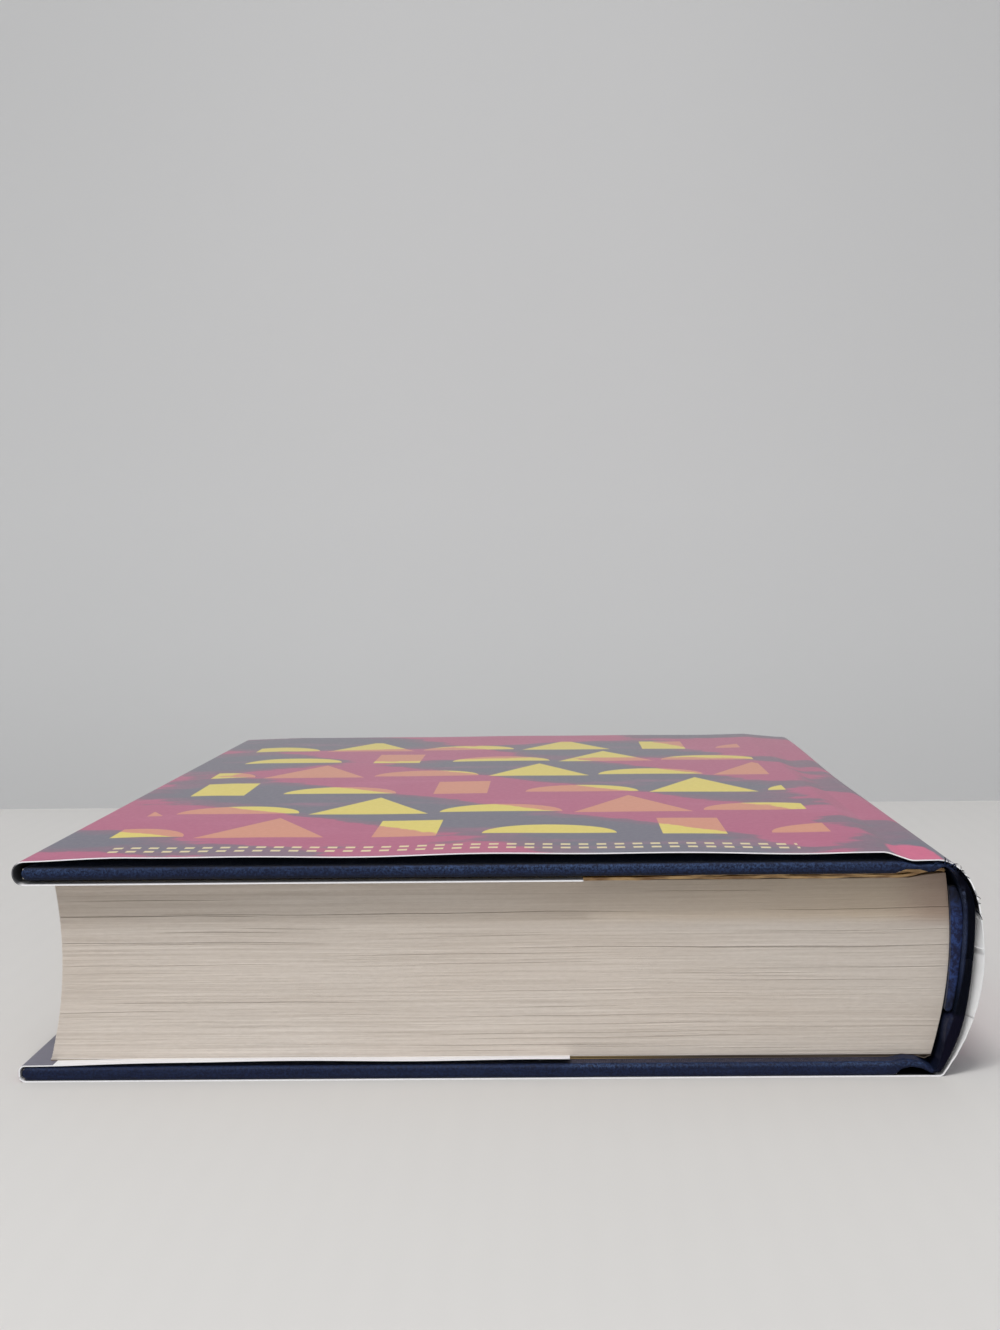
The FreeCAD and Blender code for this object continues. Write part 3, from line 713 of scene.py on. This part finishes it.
def bar(corners, low, high, rim, seam=None):
    """A closed bar whose section is corners (x, z, radius).

    Its two ends are rounded by rim, or by less where it is thin.  seam is the height of a
    flat face that meets another bar.
    """
    mesh = rounded_outline(corners, low)
    face = mesh.faces[:][0]
    points = [Vector((vert.co.x, vert.co.z)) for vert in face.verts]
    count = len(points)
    area = sum(points[k - 1].x * points[k].y - points[k].x * points[k - 1].y
               for k in range(count))
    side = 1.0 if area > 0 else -1.0
    inward, round_by = [], []
    for k in range(count):
        before = (points[k] - points[k - 1]).normalized()
        after = (points[(k + 1) % count] - points[k]).normalized()
        if seam is not None and abs(points[k].y - seam) < SAME:
            flat_after = abs(points[(k + 1) % count].y - seam) < SAME
            along = before if flat_after else after
        else:
            along = (before + after).normalized()
        inward.append(Vector((-along.y, along.x)) * side)
        round_by.append(min(rim, THIN_SHARE * room_inside(points, k, inward[k])))
    # The rounding changes only slowly from one point to the next.
    round_by = [min(round_by[j] + 0.5 * (points[j] - points[k]).length for j in range(count))
                for k in range(count)]
    depths = [rim * part for part in RIM_STEPS]
    rings = ([(low + depth, depth) for depth in depths]
             + [(y, rim) for y in steps(low, high, 12)]
             + [(high - depth, depth) for depth in reversed(depths)])
    for number, (y, depth) in enumerate(rings):
        if number:
            face = pull_face(mesh, face, keep=number == 1)
        for vert, point, turned, radius in zip(face.verts, points, inward, round_by):
            left = max(0.0, radius - depth)
            drawn = radius - math.sqrt(max(0.0, radius * radius - left * left))
            vert.co = (point.x + turned.x * drawn, y, point.y + turned.y * drawn)
    bmesh.ops.recalc_face_normals(mesh, faces=mesh.faces)
    for face in mesh.faces:
        is_end = len(face.verts) > 4
        is_seam = seam is not None and all(abs(vert.co.z - seam) < 0.02 for vert in face.verts)
        if is_end or is_seam:
            for edge in face.edges:
                edge.smooth = False
    return mesh


def profile_key(co):
    """The place of a point on its sheet's section, so that points along y share one key."""
    return round(co.x, 3), round(co.z, 3)


def lay_uv(mesh, low, start, towards):
    """Lay a folded sheet out flat in its UV map, in metres, and return its length in mm.

    u is the distance along the profile from its end nearest start, times towards;
    v is y.
    """
    edge_verts = [vert for vert in mesh.verts if abs(vert.co.y - low) < SAME]
    chain = {vert: [edge.other_vert(vert) for edge in vert.link_edges
                    if abs(edge.other_vert(vert).co.y - low) < SAME] for vert in edge_verts}
    ends = [vert for vert, others in chain.items() if len(others) == 1]
    here = min(ends, key=lambda vert: (Vector((vert.co.x, vert.co.z)) - Vector(start)).length)
    before, run = None, 0.0
    runs = {profile_key(here.co): run}
    while ahead := [vert for vert in chain[here] if vert is not before]:
        run += (ahead[0].co - here.co).length
        before, here = here, ahead[0]
        runs[profile_key(here.co)] = run
    layer = mesh.loops.layers.uv.new("sheet")
    for face in mesh.faces:
        for loop in face.loops:
            along = runs[profile_key(loop.vert.co)]
            loop[layer].uv = (along * towards * MM, loop.vert.co.y * MM)
    return run


def shift_uv(mesh, amount):
    """Move a sheet's UV map along u."""
    layer = mesh.loops.layers.uv["sheet"]
    for face in mesh.faces:
        for loop in face.loops:
            loop[layer].uv.x += amount


# ---- Lines of the book's section, in millimetres: (x, z, radius of the fold) ------------

JACKET_FRONT_LINE = [
    (81.45, 20.50, 0), (81.38, 23.00, 40), (81.18, 25.40, 40), (80.86, 27.80, 40),
    (80.35, 30.20, 8), (79.35, 32.70, 6), (77.85, 34.80, 6), (75.90, 36.15, 5),
    (74.30, 36.60, 4), (69.30, 36.55, 3), (65.20, 38.00, 4), (-63.45, 38.00, 60),
    (-81.45, 37.43, 1.95), (-81.45, 33.35, 1.95), (14.55, 33.35, 0)]
JACKET_BACK_LINE = [
    (81.13, 21.60, 0), (81.45, 20.50, 0), (81.38, 18.05, 40), (81.10, 15.60, 40),
    (80.66, 13.20, 40), (80.02, 10.84, 40), (79.22, 8.52, 40), (78.25, 6.26, 40),
    (77.12, 4.08, 40), (75.84, 1.99, 30), (74.45, 0.0, 0.9), (67.10, 0.0, 0),
    (-81.0, 0.0, 1.0), (-81.0, 2.85, 1.0), (12.0, 2.85, 0)]
CASE_FRONT_LINE = [
    (79.66, 19.87, 0), (79.92, 23.70, 30), (80.00, 27.50, 14), (79.66, 29.90, 6),
    (78.90, 32.00, 6), (77.45, 34.05, 5), (75.95, 35.35, 5), (74.60, 35.85, 2),
    (70.20, 35.62, 2.0), (67.20, 36.42, 1.5), (63.0, 36.50, 6), (-79.90, 36.50, 1.05),
    (-79.90, 34.20, 1.10), (66.60, 34.20, 1.0), (68.60, 35.00, 1.0), (70.60, 34.95, 0.8),
    (72.10, 34.45, 0.5), (73.30, 34.62, 0.5), (74.70, 35.45, 0.6), (75.80, 34.85, 2),
    (76.70, 33.70, 3), (77.30, 32.20, 3), (77.64, 30.90, 4), (78.31, 28.70, 6),
    (78.40, 27.50, 14), (78.31, 23.75, 30), (78.07, 19.87, 0)]
CASE_BACK_LINE = [
    (79.66, 19.87, 0), (79.24, 16.05, 40), (78.66, 12.25, 40), (77.90, 8.50, 30),
    (76.70, 5.10, 30), (75.00, 2.05, 20), (73.95, 0.60, 0.6), (72.50, 0.60, 0.5),
    (71.00, 1.35, 0.8), (69.30, 1.62, 1.2), (67.60, 1.20, 0.6), (66.60, 0.20, 0.8),
    (-80.50, 0.20, 1.1), (-80.50, 2.50, 0.9), (65.80, 2.50, 1.5), (68.00, 3.00, 1.8),
    (70.40, 2.75, 1.5), (72.30, 1.55, 1.0), (73.20, 1.05, 0.3), (74.05, 2.30, 1.0),
    (74.75, 5.20, 8), (75.10, 8.50, 8), (75.60, 9.90, 0.8), (76.55, 10.20, 0.8),
    (77.08, 12.50, 6), (77.64, 16.27, 40), (78.07, 19.87, 0)]
BAND_LINE = [
    (75.25, 10.35, 0.5), (75.95, 15.20, 30), (76.26, 20.00, 30), (76.32, 24.90, 30),
    (76.16, 29.50, 3), (75.95, 31.60, 0.5), (77.10, 31.75, 0.6), (77.92, 30.10, 2),
    (78.30, 28.30, 4), (78.38, 26.60, 20),
    (78.27, 23.20, 30), (78.00, 20.00, 30), (77.55, 16.40, 30), (76.98, 12.80, 30),
    (76.44, 10.45, 0.7)]


# ---- Pieces of the book -----------------------------------------------------------------

def leaf_share(z):
    """How high a place stands in the text block, from 0 to 1."""
    return (z - LEAVES_LOW.z) / (LEAVES_HIGH.z - LEAVES_LOW.z)


def block_edges(z):
    """Where the fore edge and the spine lie at a height of the text block."""
    part = leaf_share(z)
    arch = 4 * part * (1 - part)
    fore = FORE_CORNER + FORE_SLANT * part + FORE_ARCH * arch
    spine = SPINE_CORNER + SPINE_SLANT * part + SPINE_ARCH * arch
    return fore, spine


class BOOK_OT_text_block(bpy.types.Operator):
    """Build the text block leaf by leaf, with uneven edges and a few opened gaps"""
    bl_idname = "book.text_block"
    bl_label = "Text block"

    def execute(self, context):
        sizes = context.scene.book_sizes
        chance = random.Random(LEAF_SEED)
        count = sizes.leaf_count
        stray, notch = sizes.leaf_stray / MM, sizes.leaf_notch / MM
        thick = (LEAVES_HIGH.z - LEAVES_LOW.z) / count
        mesh = bmesh.new()
        face, rest = self.lowest_face(mesh)
        opened = self.opened_gaps(chance, count)
        # Six are drawn, of which the leaves use four, so that later draws keep their order.
        phases = [chance.uniform(0, FULL_TURN) for _ in range(6)]
        bunch = 0.0
        for index in range(count):
            bunch = 0.75 * bunch + chance.uniform(-0.25, 0.25) * stray
            own = chance.uniform(-0.4, 0.4) * stray
            waves = [(chance.uniform(14, 60), chance.uniform(0, FULL_TURN)) for _ in range(2)]
            skew = chance.uniform(-0.4, 0.4) * stray
            # Each leaf has two rings of points: its own edge, and the gap above it.
            for level, depth in ((0.5, max(0.0, bunch + own)), (1.0, notch + max(0.0, bunch))):
                face = pull_face(mesh, face)
                z = LEAVES_LOW.z + (index + level) * thick
                fore, spine = block_edges(z)
                gap = opened.get(index) if level == 1.0 else None
                for vert, (share, y) in zip(face.verts, rest):
                    x = fore + share * (spine - fore)
                    draw_in = depth + skew * (share - 0.5)
                    draw_in += 0.25 * stray * sum(
                        1 + ripple(x + 0.7 * y, length, phase) for length, phase in waves)
                    rise = self.rise(x, y, leaf_share(z), phases)
                    if gap:
                        size, start, run = gap
                        inside = (share - start) / run
                        if 0 < inside < 1:
                            open_now = math.sin(math.pi * inside) ** 0.6
                            draw_in += 5.0 * size * open_now
                            rise += 0.4 * size * open_now
                    vert.co = (x + draw_in if share < 1e-3 else x, y, z + rise)
                    if abs(y - LEAVES_LOW.y) < 1e-3:
                        vert.co.y = y + draw_in
                    elif abs(y - LEAVES_HIGH.y) < 1e-3:
                        vert.co.y = y - draw_in
        bmesh.ops.recalc_face_normals(mesh, faces=mesh.faces)
        finished("leaves", mesh, [leaf_edge_finish(context.scene.book_colours)],
                 body="book_block", replaced=["text_block"], smooth=False)
        return {"FINISHED"}

    @staticmethod
    def lowest_face(mesh):
        """The lowest face, and each of its points as a share of the width and a y."""
        fore, spine = block_edges(LEAVES_LOW.z)
        bmesh.ops.create_grid(mesh, x_segments=1, y_segments=1, size=1)
        for vert in mesh.verts:
            vert.co = (spine if vert.co.x > 0 else fore,
                       LEAVES_HIGH.y if vert.co.y > 0 else LEAVES_LOW.y, LEAVES_LOW.z)
        along_x = [edge for edge in mesh.edges
                   if abs(edge.verts[0].co.y - edge.verts[1].co.y) < SAME]
        along_y = [edge for edge in mesh.edges if edge not in along_x]
        bmesh.ops.delete(mesh, geom=mesh.faces[:], context="FACES_ONLY")
        bmesh.ops.subdivide_edges(mesh, edges=along_x, cuts=47)
        bmesh.ops.subdivide_edges(mesh, edges=along_y, cuts=17)
        face = bmesh.ops.edgeloop_fill(mesh, edges=mesh.edges[:])["faces"][0]
        return face, [((vert.co.x - fore) / (spine - fore), vert.co.y) for vert in face.verts]

    @staticmethod
    def opened_gaps(chance, count):
        """Leaves whose gap has opened: how wide, from which share of the width, how far."""
        opened = {}
        for _ in range(OPENED_GAPS):
            opened[chance.randrange(4, count - 4)] = (
                chance.uniform(0.010, 0.034), chance.uniform(-0.2, 0.8),
                chance.uniform(0.1, 0.4))
        opened[int(count * 0.812)] = (0.16, -0.08, 0.30)
        opened[int(count * 0.817)] = (0.05, 0.10, 0.55)
        opened[int(count * 0.62)] = (0.06, 0.5, 0.6)
        opened[int(count * 0.66)] = (0.05, -0.1, 0.4)
        return opened

    @staticmethod
    def rise(x, y, part, phases):
        """How far the leaves rise at a place that is part of the way up the block."""
        rise = 0.12 * ripple(x, 74, phases[0] + 3.1 * part)
        rise += 0.05 * ripple(x, 31, phases[1] + 7.0 * part)
        rise += 0.015 * ripple(x, 12.5, phases[2] + 19.0 * part)
        rise += 0.12 * ripple(y, 90, phases[3] + 4.0 * part)
        rise *= min(1.0, 8 * part, 8 * (1 - part))
        rise += 0.85 * (smooth_step((x - 68.5) / 6.5) * smooth_step((part - 0.80) / 0.20))
        return rise - 0.26 * smooth_step(1 - 5 * part)


class BOOK_OT_endpapers(bpy.types.Operator):
    """Fold a sheet into each cover: one half on the board, the other on the leaves"""
    bl_idname = "book.endpapers"
    bl_label = "Endpapers"

    def execute(self, context):
        finish = endpaper_finish(context.scene.book_colours)
        thick = context.scene.book_sizes.endpaper
        low, high = LEAVES_LOW.y, LEAVES_HIGH.y
        sheets = {
            "front_pastedown": ([(-75.80, 34.06, 0), (66.0, 34.06, 1.0), (69.5, 34.42, 2.0),
                                 (72.2, 34.25, 1.0), (74.4, 34.75, 0.4), (75.4, 34.12, 0)],
                                "front_cover"),
            "front_flyleaf": ([(-75.20, 33.10, 0), (75.40, 33.10, 0)], "book_block"),
            "back_flyleaf": ([(-76.40, 2.86, 0), (72.90, 2.86, 0)], "book_block"),
            "back_pastedown": ([(-76.40, 2.58, 0), (66.20, 2.58, 1.5), (68.0, 3.04, 1.8),
                                (70.4, 2.80, 1.5), (72.0, 2.30, 0.5), (73.1, 2.86, 0)],
                               "back_cover")}
        for name, (line, body) in sheets.items():
            mesh = folded_sheet(line, low, high)
            # Points along each sheet: sparse on the board, closer where it bends.
            slice_mesh(mesh, 0, steps(line[0][0], BOARD_END, 70))
            slice_mesh(mesh, 0, steps(BOARD_END, line[-1][0], 12))
            slice_mesh(mesh, 0, steps(line[-2][0], line[-1][0], 8))
            slice_mesh(mesh, 1, steps(low, high, 24))
            for vert in mesh.verts:
                self.wave(vert, name)
            keep_rims_crisp(mesh)
            # A paste-down runs on over the joint, and bends there to meet its flyleaf.
            joined = name.endswith("pastedown")
            piece = finished(name + "_sheet", mesh, [finish], replaced=[name],
                             body=None if joined else body)
            if joined:
                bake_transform(piece)
            # The front sheets are thicker, so that their cut edge shows as a broad line.
            solidify(piece, thick * (3.2 if name.startswith("front") else 1.0))
        return {"FINISHED"}

    @staticmethod
    def wave(vert, name):
        """Let the front sheet wave near the head and the tail, where it hangs free."""
        x, y = vert.co.x, vert.co.y
        near_end = (y - LEAVES_LOW.y) if y < 0 else (LEAVES_HIGH.y - y)
        near_end = max(0.0, 1 - near_end / 14)
        if name == "front_flyleaf":
            swell = smooth_step((x - 4) / 30) * (0.4 + 0.6 * near_end)
            vert.co.z += swell * (0.22 + 0.08 * ripple(x, 15, 1.1)
                                  + 0.05 * ripple(x, 6.5, 0.3))
            vert.co.z += 1.0 * smooth_step((x - 67) / 7)
        if name == "front_pastedown":
            sag = smooth_step((x - 14) / 25) * near_end * (1 - smooth_step((x - 70) / 4))
            vert.co.z -= sag * (0.16 + 0.07 * ripple(x, 11, 0.4)
                                + 0.04 * ripple(x, 4.7, 1.4))


class BOOK_OT_cloth_case(bpy.types.Operator):
    """Wrap the boards and the spine in cloth, in a front half and a back half"""
    bl_idname = "book.cloth_case"
    bl_label = "Cloth case"

    def execute(self, context):
        finish = cloth_finish(context.scene.book_colours)
        halves = [
            ("front_case_cloth", CASE_FRONT_LINE, "front_cover", FRONT_HINGE,
             ["cover_cloth_front", "cover_cloth_spine"]),
            ("back_case_cloth", CASE_BACK_LINE, "back_cover", BACK_HINGE,
             ["cover_cloth_back"])]
        for name, line, cover, pin, replaced in halves:
            mesh = bar(line, CLOTH_LOW.y, CLOTH_HIGH.y, CLOTH_RIM, seam=CASE_FRONT_LINE[0][1])
            piece = finished(name, mesh, [finish], replaced=replaced)
            bend_with_cover(piece)
        return {"FINISHED"}


class BOOK_OT_headbands(bpy.types.Operator):
    """Sew a band to the head and the tail of the spine"""
    bl_idname = "book.headbands"
    bl_label = "Headbands"

    def execute(self, context):
        finish = band_finish()
        near, far = BAND_ENDS
        for name, low, high in (("headband", -far, -near), ("tailband", near, far)):
            mesh = bar(BAND_LINE, low, high, BAND_RIM)
            finished(name + "_thread", mesh, [finish], body="book_block", replaced=[name])
        return {"FINISHED"}


class BOOK_OT_frayed_threads(bpy.types.Operator):
    """Leave a few frayed threads of cloth at the head of the front joint"""
    bl_idname = "book.frayed_threads"
    bl_label = "Frayed threads"

    def execute(self, context):
        chance = random.Random(THREAD_SEED)
        mesh = bmesh.new()
        head = [Vector(point[:2]) for point in CASE_FRONT_LINE[2:9]]
        for _ in range(THREADS):
            leg = chance.randrange(len(head) - 1)
            root = head[leg].lerp(head[leg + 1], chance.random())
            along = (head[leg] - head[leg + 1]).normalized()
            out = Vector((-along.y, along.x))
            if out.x + out.y < 0:
                out = -out
            length = chance.uniform(1.2, 3.4)
            lean = chance.uniform(-0.5, 1.0)
            lift = chance.uniform(0.35, 0.75)
            depth = CLOTH_LOW.y + chance.uniform(-0.10, 0.10)
            spots = []
            for share in (0.0, 0.25, 0.5, 0.75, 1.0):
                spot = (root + along * lean * length * share
                        + out * lift * length * share * (1.15 - 0.55 * share))
                spots.append(Vector((spot.x, depth - 0.5 * share, spot.y)))
            self.thread(mesh, spots, chance.uniform(0.08, 0.14))
        bmesh.ops.recalc_face_normals(mesh, faces=mesh.faces)
        finished("frayed_threads", mesh, [cloth_finish(context.scene.book_colours)],
                 body="book_block")
        return {"FINISHED"}

    @staticmethod
    def thread(mesh, spots, radius):
        """A thin tapering thread through a few places, closed at both ends."""
        taper = 0.85
        ring = bmesh.ops.create_circle(mesh, cap_ends=True, segments=5, radius=radius)["verts"]
        heading = (spots[1] - spots[0]).normalized()
        turn = heading.to_track_quat("Z", "Y").to_matrix()
        bmesh.ops.rotate(mesh, cent=(0, 0, 0), matrix=turn, verts=ring)
        bmesh.ops.translate(mesh, vec=spots[0], verts=ring)
        first = face = ring[0].link_faces[0]
        for before, after in zip(spots, spots[1:]):
            face = pull_face(mesh, face, keep=face is first)
            bmesh.ops.translate(mesh, vec=after - before, verts=face.verts)
            bmesh.ops.scale(mesh, vec=(taper, taper, taper), verts=face.verts,
                            space=Matrix.Translation(-after))


class BOOK_OT_jacket(bpy.types.Operator):
    """Fold the printed jacket round the case, in a front half and a back half"""
    bl_idname = "book.jacket"
    bl_label = "Jacket"

    def execute(self, context):
        colours = context.scene.book_colours
        low, high = JACKET_LOW.y, JACKET_HIGH.y
        white = jacket_inside_finish(colours)
        front = folded_sheet(JACKET_FRONT_LINE, low, high)
        back = folded_sheet(JACKET_BACK_LINE, low, high)
        front_run = lay_uv(front, low, JACKET_FRONT_LINE[0][:2], -1)
        back_run = lay_uv(back, low, JACKET_BACK_LINE[0][:2], 1)
        # The back half has a tongue that lies under the front half at their seam.
        tongue = (Vector(JACKET_BACK_LINE[1][:2]) - Vector(JACKET_BACK_LINE[0][:2])).length
        panel = front_run - FRONT_FLAP
        shift_uv(front, panel * MM)
        shift_uv(back, (panel - tongue) * MM)
        total = panel - tongue + back_run - BACK_FLAP
        printed = jacket_print_finish(colours, total * MM, PRINTED_PANEL * MM)
        halves = [
            ("jacket_front_half", front, "front_cover", FRONT_HINGE,
             ["jacket_front", "jacket_spine"]),
            ("jacket_back_half", back, "back_cover", BACK_HINGE, ["jacket_back"])]
        for name, half, cover, pin, replaced in halves:
            # Points across, up and along the book, closest beside the head edge.
            slice_mesh(half, 0, steps(-79, BOARD_END, 70))
            slice_mesh(half, 2, [0.73 + 0.45 * k for k in range(78)])
            slice_mesh(half, 1, [low + 0.4, low + 1, low + 1.8, low + 2.8])
            slice_mesh(half, 1, steps(low, high, 60))
            for vert in half.verts:
                self.shape(vert, low)
            bmesh.ops.recalc_face_normals(half, faces=half.faces)
            self.face_out(half)
            keep_rims_crisp(half)
            piece = finished(name, half, [printed, white], replaced=replaced)
            solidify(piece, context.scene.book_sizes.jacket_paper, side=-1.0, inner=1)
            bend_with_cover(piece)
        return {"FINISHED"}

    @staticmethod
    def shape(vert, low):
        """Let the paper wave a little where nothing holds it."""
        x, y, z = vert.co
        if z > 36.7 and -78 < x < 66:
            # The front panel, more at the head than at the tail.
            head = max(0.0, 1 - (y - low) / 60)
            hold = smooth_step((x + 78) / 20) * (1 - smooth_step((x - 52) / 14))
            vert.co.z += hold * (0.10 + 0.22 * head) * (
                0.6 * ripple(x, 88, 0.9) + 0.4 * ripple(x, 37, 2.2)) * 0.9
            vert.co.z += 0.12 * hold * ripple(y, 150, 0.4)
        if x > 74:
            # Away from the head the spine lies closer to the cloth; at the head it is ragged.
            room = 1.15 * smooth_step((29 - z) / 9) * smooth_step((z - 2) / 12)
            deep = min(1.0, (y - low) / 2.2) ** 0.8
            vert.co.x -= room * deep
            torn = 0.03 * ripple(z, 2.9, 0.4) + 0.02 * ripple(z, 1.63, 2.0)
            vert.co.x += torn * (1 - deep) * smooth_step((16 - z) / 6)
        if z > 30 and x > 62:
            # The groove of the front joint runs out towards the tail.
            straight = 38.0 - smooth_step((x - 63) / 13) - 0.18 * max(0.0, x - 75.5) ** 2
            if z < straight:
                reach = smooth_step((y - 10) / 100) * (1 - smooth_step((x - 77) / 2.5))
                vert.co.z += (straight - z) * reach
        if z < 4 and z > 1.5 and x < 14:
            # The free part of the back flap curls up at the head.
            curl = smooth_step((x + 79) / 26) * smooth_step((low + 5.5 - y) / 5.5)
            vert.co.z += (0.62 + 0.10 * ripple(x, 41, 0.6)) * curl

    @staticmethod
    def face_out(half):
        """Turn the sheet so that its printed side is the outer one."""
        outermost = max(half.faces, key=lambda face: face.calc_center_median().x)
        outermost.normal_update()
        if outermost.normal.x < 0:
            bmesh.ops.reverse_faces(half, faces=half.faces)


class BOOK_OT_hidden_parts(bpy.types.Operator):
    """Finish the boards and the parts hidden inside the spine"""
    bl_idname = "book.hidden_parts"
    bl_label = "Boards and spine parts"

    def execute(self, context):
        board = plain_paper_finish("grey_board", (0.33, 0.31, 0.28), 900)
        card = plain_paper_finish("spine_card", (0.42, 0.36, 0.28), 1200)
        lining = plain_paper_finish("kraft_lining", (0.42, 0.29, 0.17), 1500)
        for node, material in (("front_board", board), ("back_board", board),
                               ("spine_inlay", card), ("spine_lining", lining),
                               ("spine_mull", gauze_finish())):
            data = frame["nodes"][node].data
            data.materials.clear()
            data.materials.append(material)
        return {"FINISHED"}


# ---- Stage ------------------------------------------------------------------------------

def table_finish(colours):
    """Pale table with faint ribs."""
    table = Finish("pale_table", 0.6)
    place, x, y, z = table.axes()
    ribs = x.wave(0.006)
    tone = ribs * 0.04 + table.noise(place, 5, 3, 0.5)
    table.body = table.mix(tone.span(0.3, 0.7), colours.table, scaled(colours.table, 0.97))
    table.bump(ribs, 0.00005, 0.3)
    return table.done()


def wall_finish(colours):
    """Pale wall with painted light, brightest above the table and behind the book."""
    wall = Finish("pale_wall", 0.8)
    place, x, y, z = wall.axes()
    light = z.ease(0.0, 0.07, 0.93, 1.0) * z.span(0.11, 0.34, 1.0, 0.83)
    light = light * abs(x).ease(0.03, 0.20, 1.0, 0.93)
    light = light * wall.noise(place, 4, 2, 0.5).span(0.3, 0.7, 1.0, 0.985)
    wall.body = wall.mix(light, (0, 0, 0), scaled(colours.wall, 1.17))
    # Seen from behind, the wall isn't there.
    wall.feed("Alpha", 1.0 - wall.node("ShaderNodeNewGeometry", output="Backfacing"))
    return wall.done()


def plate(name, material, size, place, tilt=0.0):
    """A flat rectangle of the stage."""
    mesh = bmesh.new()
    bmesh.ops.create_grid(mesh, x_segments=1, y_segments=1, size=0.5)
    bmesh.ops.scale(mesh, vec=(size[0], size[1], 1), verts=mesh.verts)
    bmesh.ops.rotate(mesh, cent=(0, 0, 0), matrix=Matrix.Rotation(tilt, 3, "X"),
                     verts=mesh.verts)
    bmesh.ops.translate(mesh, vec=place, verts=mesh.verts)
    solid_from(name, mesh, [material], smooth=False)


def soft_light(name, place, size, power, tint):
    """A rectangular lamp that shines on the middle of the book."""
    lamp = bpy.data.lights.new(name, "AREA")
    lamp.shape = "RECTANGLE"
    lamp.size, lamp.size_y = size
    lamp.energy = power
    lamp.color = tint
    made = linked(name, lamp)
    made.location = place
    heading = Vector((0, 0, 0.02)) - Vector(place)
    made.rotation_euler = heading.to_track_quat("-Z", "Y").to_euler()


class BOOK_OT_stage(bpy.types.Operator):
    """Lay the book on a pale table before a pale wall, with soft light and a camera"""
    bl_idname = "book.stage"
    bl_label = "Table, light and camera"

    def execute(self, context):
        scene = context.scene
        settings = scene.book_stage
        plate("table", table_finish(settings), (6.0, 6.0), (0, 0, 0))
        plate("wall", wall_finish(settings), (3.0, 1.6), (0, settings.wall_distance, 0.8),
              tilt=math.pi / 2)
        warm = (1.0, 0.985, 0.965)
        soft_light("ceiling_light", (-0.14, -0.77, 1.40), (0.42, 0.12), 10.0, warm)
        soft_light("soft_box", (-0.35, -0.90, 1.25), (1.2, 0.8), 6.6, warm)
        soft_light("front_fill", (0.3, -1.6, 0.35), (1.2, 0.6), 2.9, (1.0, 0.98, 0.96))
        world = bpy.data.worlds.new("studio")
        world.use_nodes = True
        sky = world.node_tree.nodes["Background"]
        sky.inputs["Color"].default_value = (0.90, 0.94, 1.0, 1.0)
        sky.inputs["Strength"].default_value = 0.38
        scene.world = world
        scene.view_settings.view_transform = "Standard"
        self.camera(scene)
        return {"FINISHED"}

    @staticmethod
    def camera(scene):
        """Stand the camera before the head of the book."""
        yaw, pitch, roll = -0.0141, -0.0468, -0.0103
        place = Vector((10.41, -431.86, 84.39)) * MM
        ahead = Vector((math.sin(yaw) * math.cos(pitch), math.cos(yaw) * math.cos(pitch),
                        math.sin(pitch)))
        right = Vector((math.cos(yaw), -math.sin(yaw), 0))
        up = right.cross(ahead)
        right, up = (right * math.cos(roll) + up * math.sin(roll),
                     up * math.cos(roll) - right * math.sin(roll))
        # Height of the frame, focal length and sideways shift, all in one unit.
        height, focal, shift = 1330.0, 1889.8, -30.0
        eye = bpy.data.cameras.new("camera")
        eye.sensor_fit = "VERTICAL"
        eye.sensor_height = 36.0
        eye.lens = eye.sensor_height * focal / height
        eye.shift_x = shift / height
        eye.clip_start = 0.01
        made = linked("camera", eye)
        turn = Matrix((right, up, -ahead)).transposed().to_4x4()
        made.matrix_world = Matrix.Translation(place) @ turn
        scene.camera = made


class BOOK_PT_panel(bpy.types.Panel):
    """Panel that lists the book's pieces"""
    bl_idname = "BOOK_PT_panel"
    bl_label = "Case-bound Book"
    bl_space_type = "VIEW_3D"
    bl_region_type = "UI"
    bl_category = "Book"

    def draw(self, context):
        for step in STEPS:
            self.layout.operator(step.bl_idname)


STEPS = (BOOK_OT_text_block, BOOK_OT_endpapers, BOOK_OT_cloth_case, BOOK_OT_headbands,
         BOOK_OT_frayed_threads, BOOK_OT_jacket, BOOK_OT_hidden_parts, BOOK_OT_stage)
GROUPS = {"book_sizes": BookSizes, "book_colours": BookColours, "book_stage": StageSettings}


def register():
    """Add the settings, the operators and the panel."""
    for group in GROUPS.values():
        bpy.utils.register_class(group)
    for name, group in GROUPS.items():
        setattr(bpy.types.Scene, name, bpy.props.PointerProperty(type=group))
    for step in STEPS:
        bpy.utils.register_class(step)
    bpy.utils.register_class(BOOK_PT_panel)


def unregister():
    """Take away the panel, the operators and the settings."""
    bpy.utils.unregister_class(BOOK_PT_panel)
    for step in reversed(STEPS):
        bpy.utils.unregister_class(step)
    for name, group in GROUPS.items():
        delattr(bpy.types.Scene, name)
        bpy.utils.unregister_class(group)


def main():
    """Build the whole book on its stage."""
    register()
    bpy.ops.book.text_block()
    bpy.ops.book.endpapers()
    bpy.ops.book.cloth_case()
    bpy.ops.book.headbands()
    bpy.ops.book.frayed_threads()
    bpy.ops.book.jacket()
    bpy.ops.book.hidden_parts()
    bpy.ops.book.stage()
    bpy.context.view_layer.update()


if __name__ == "__main__":
    main()
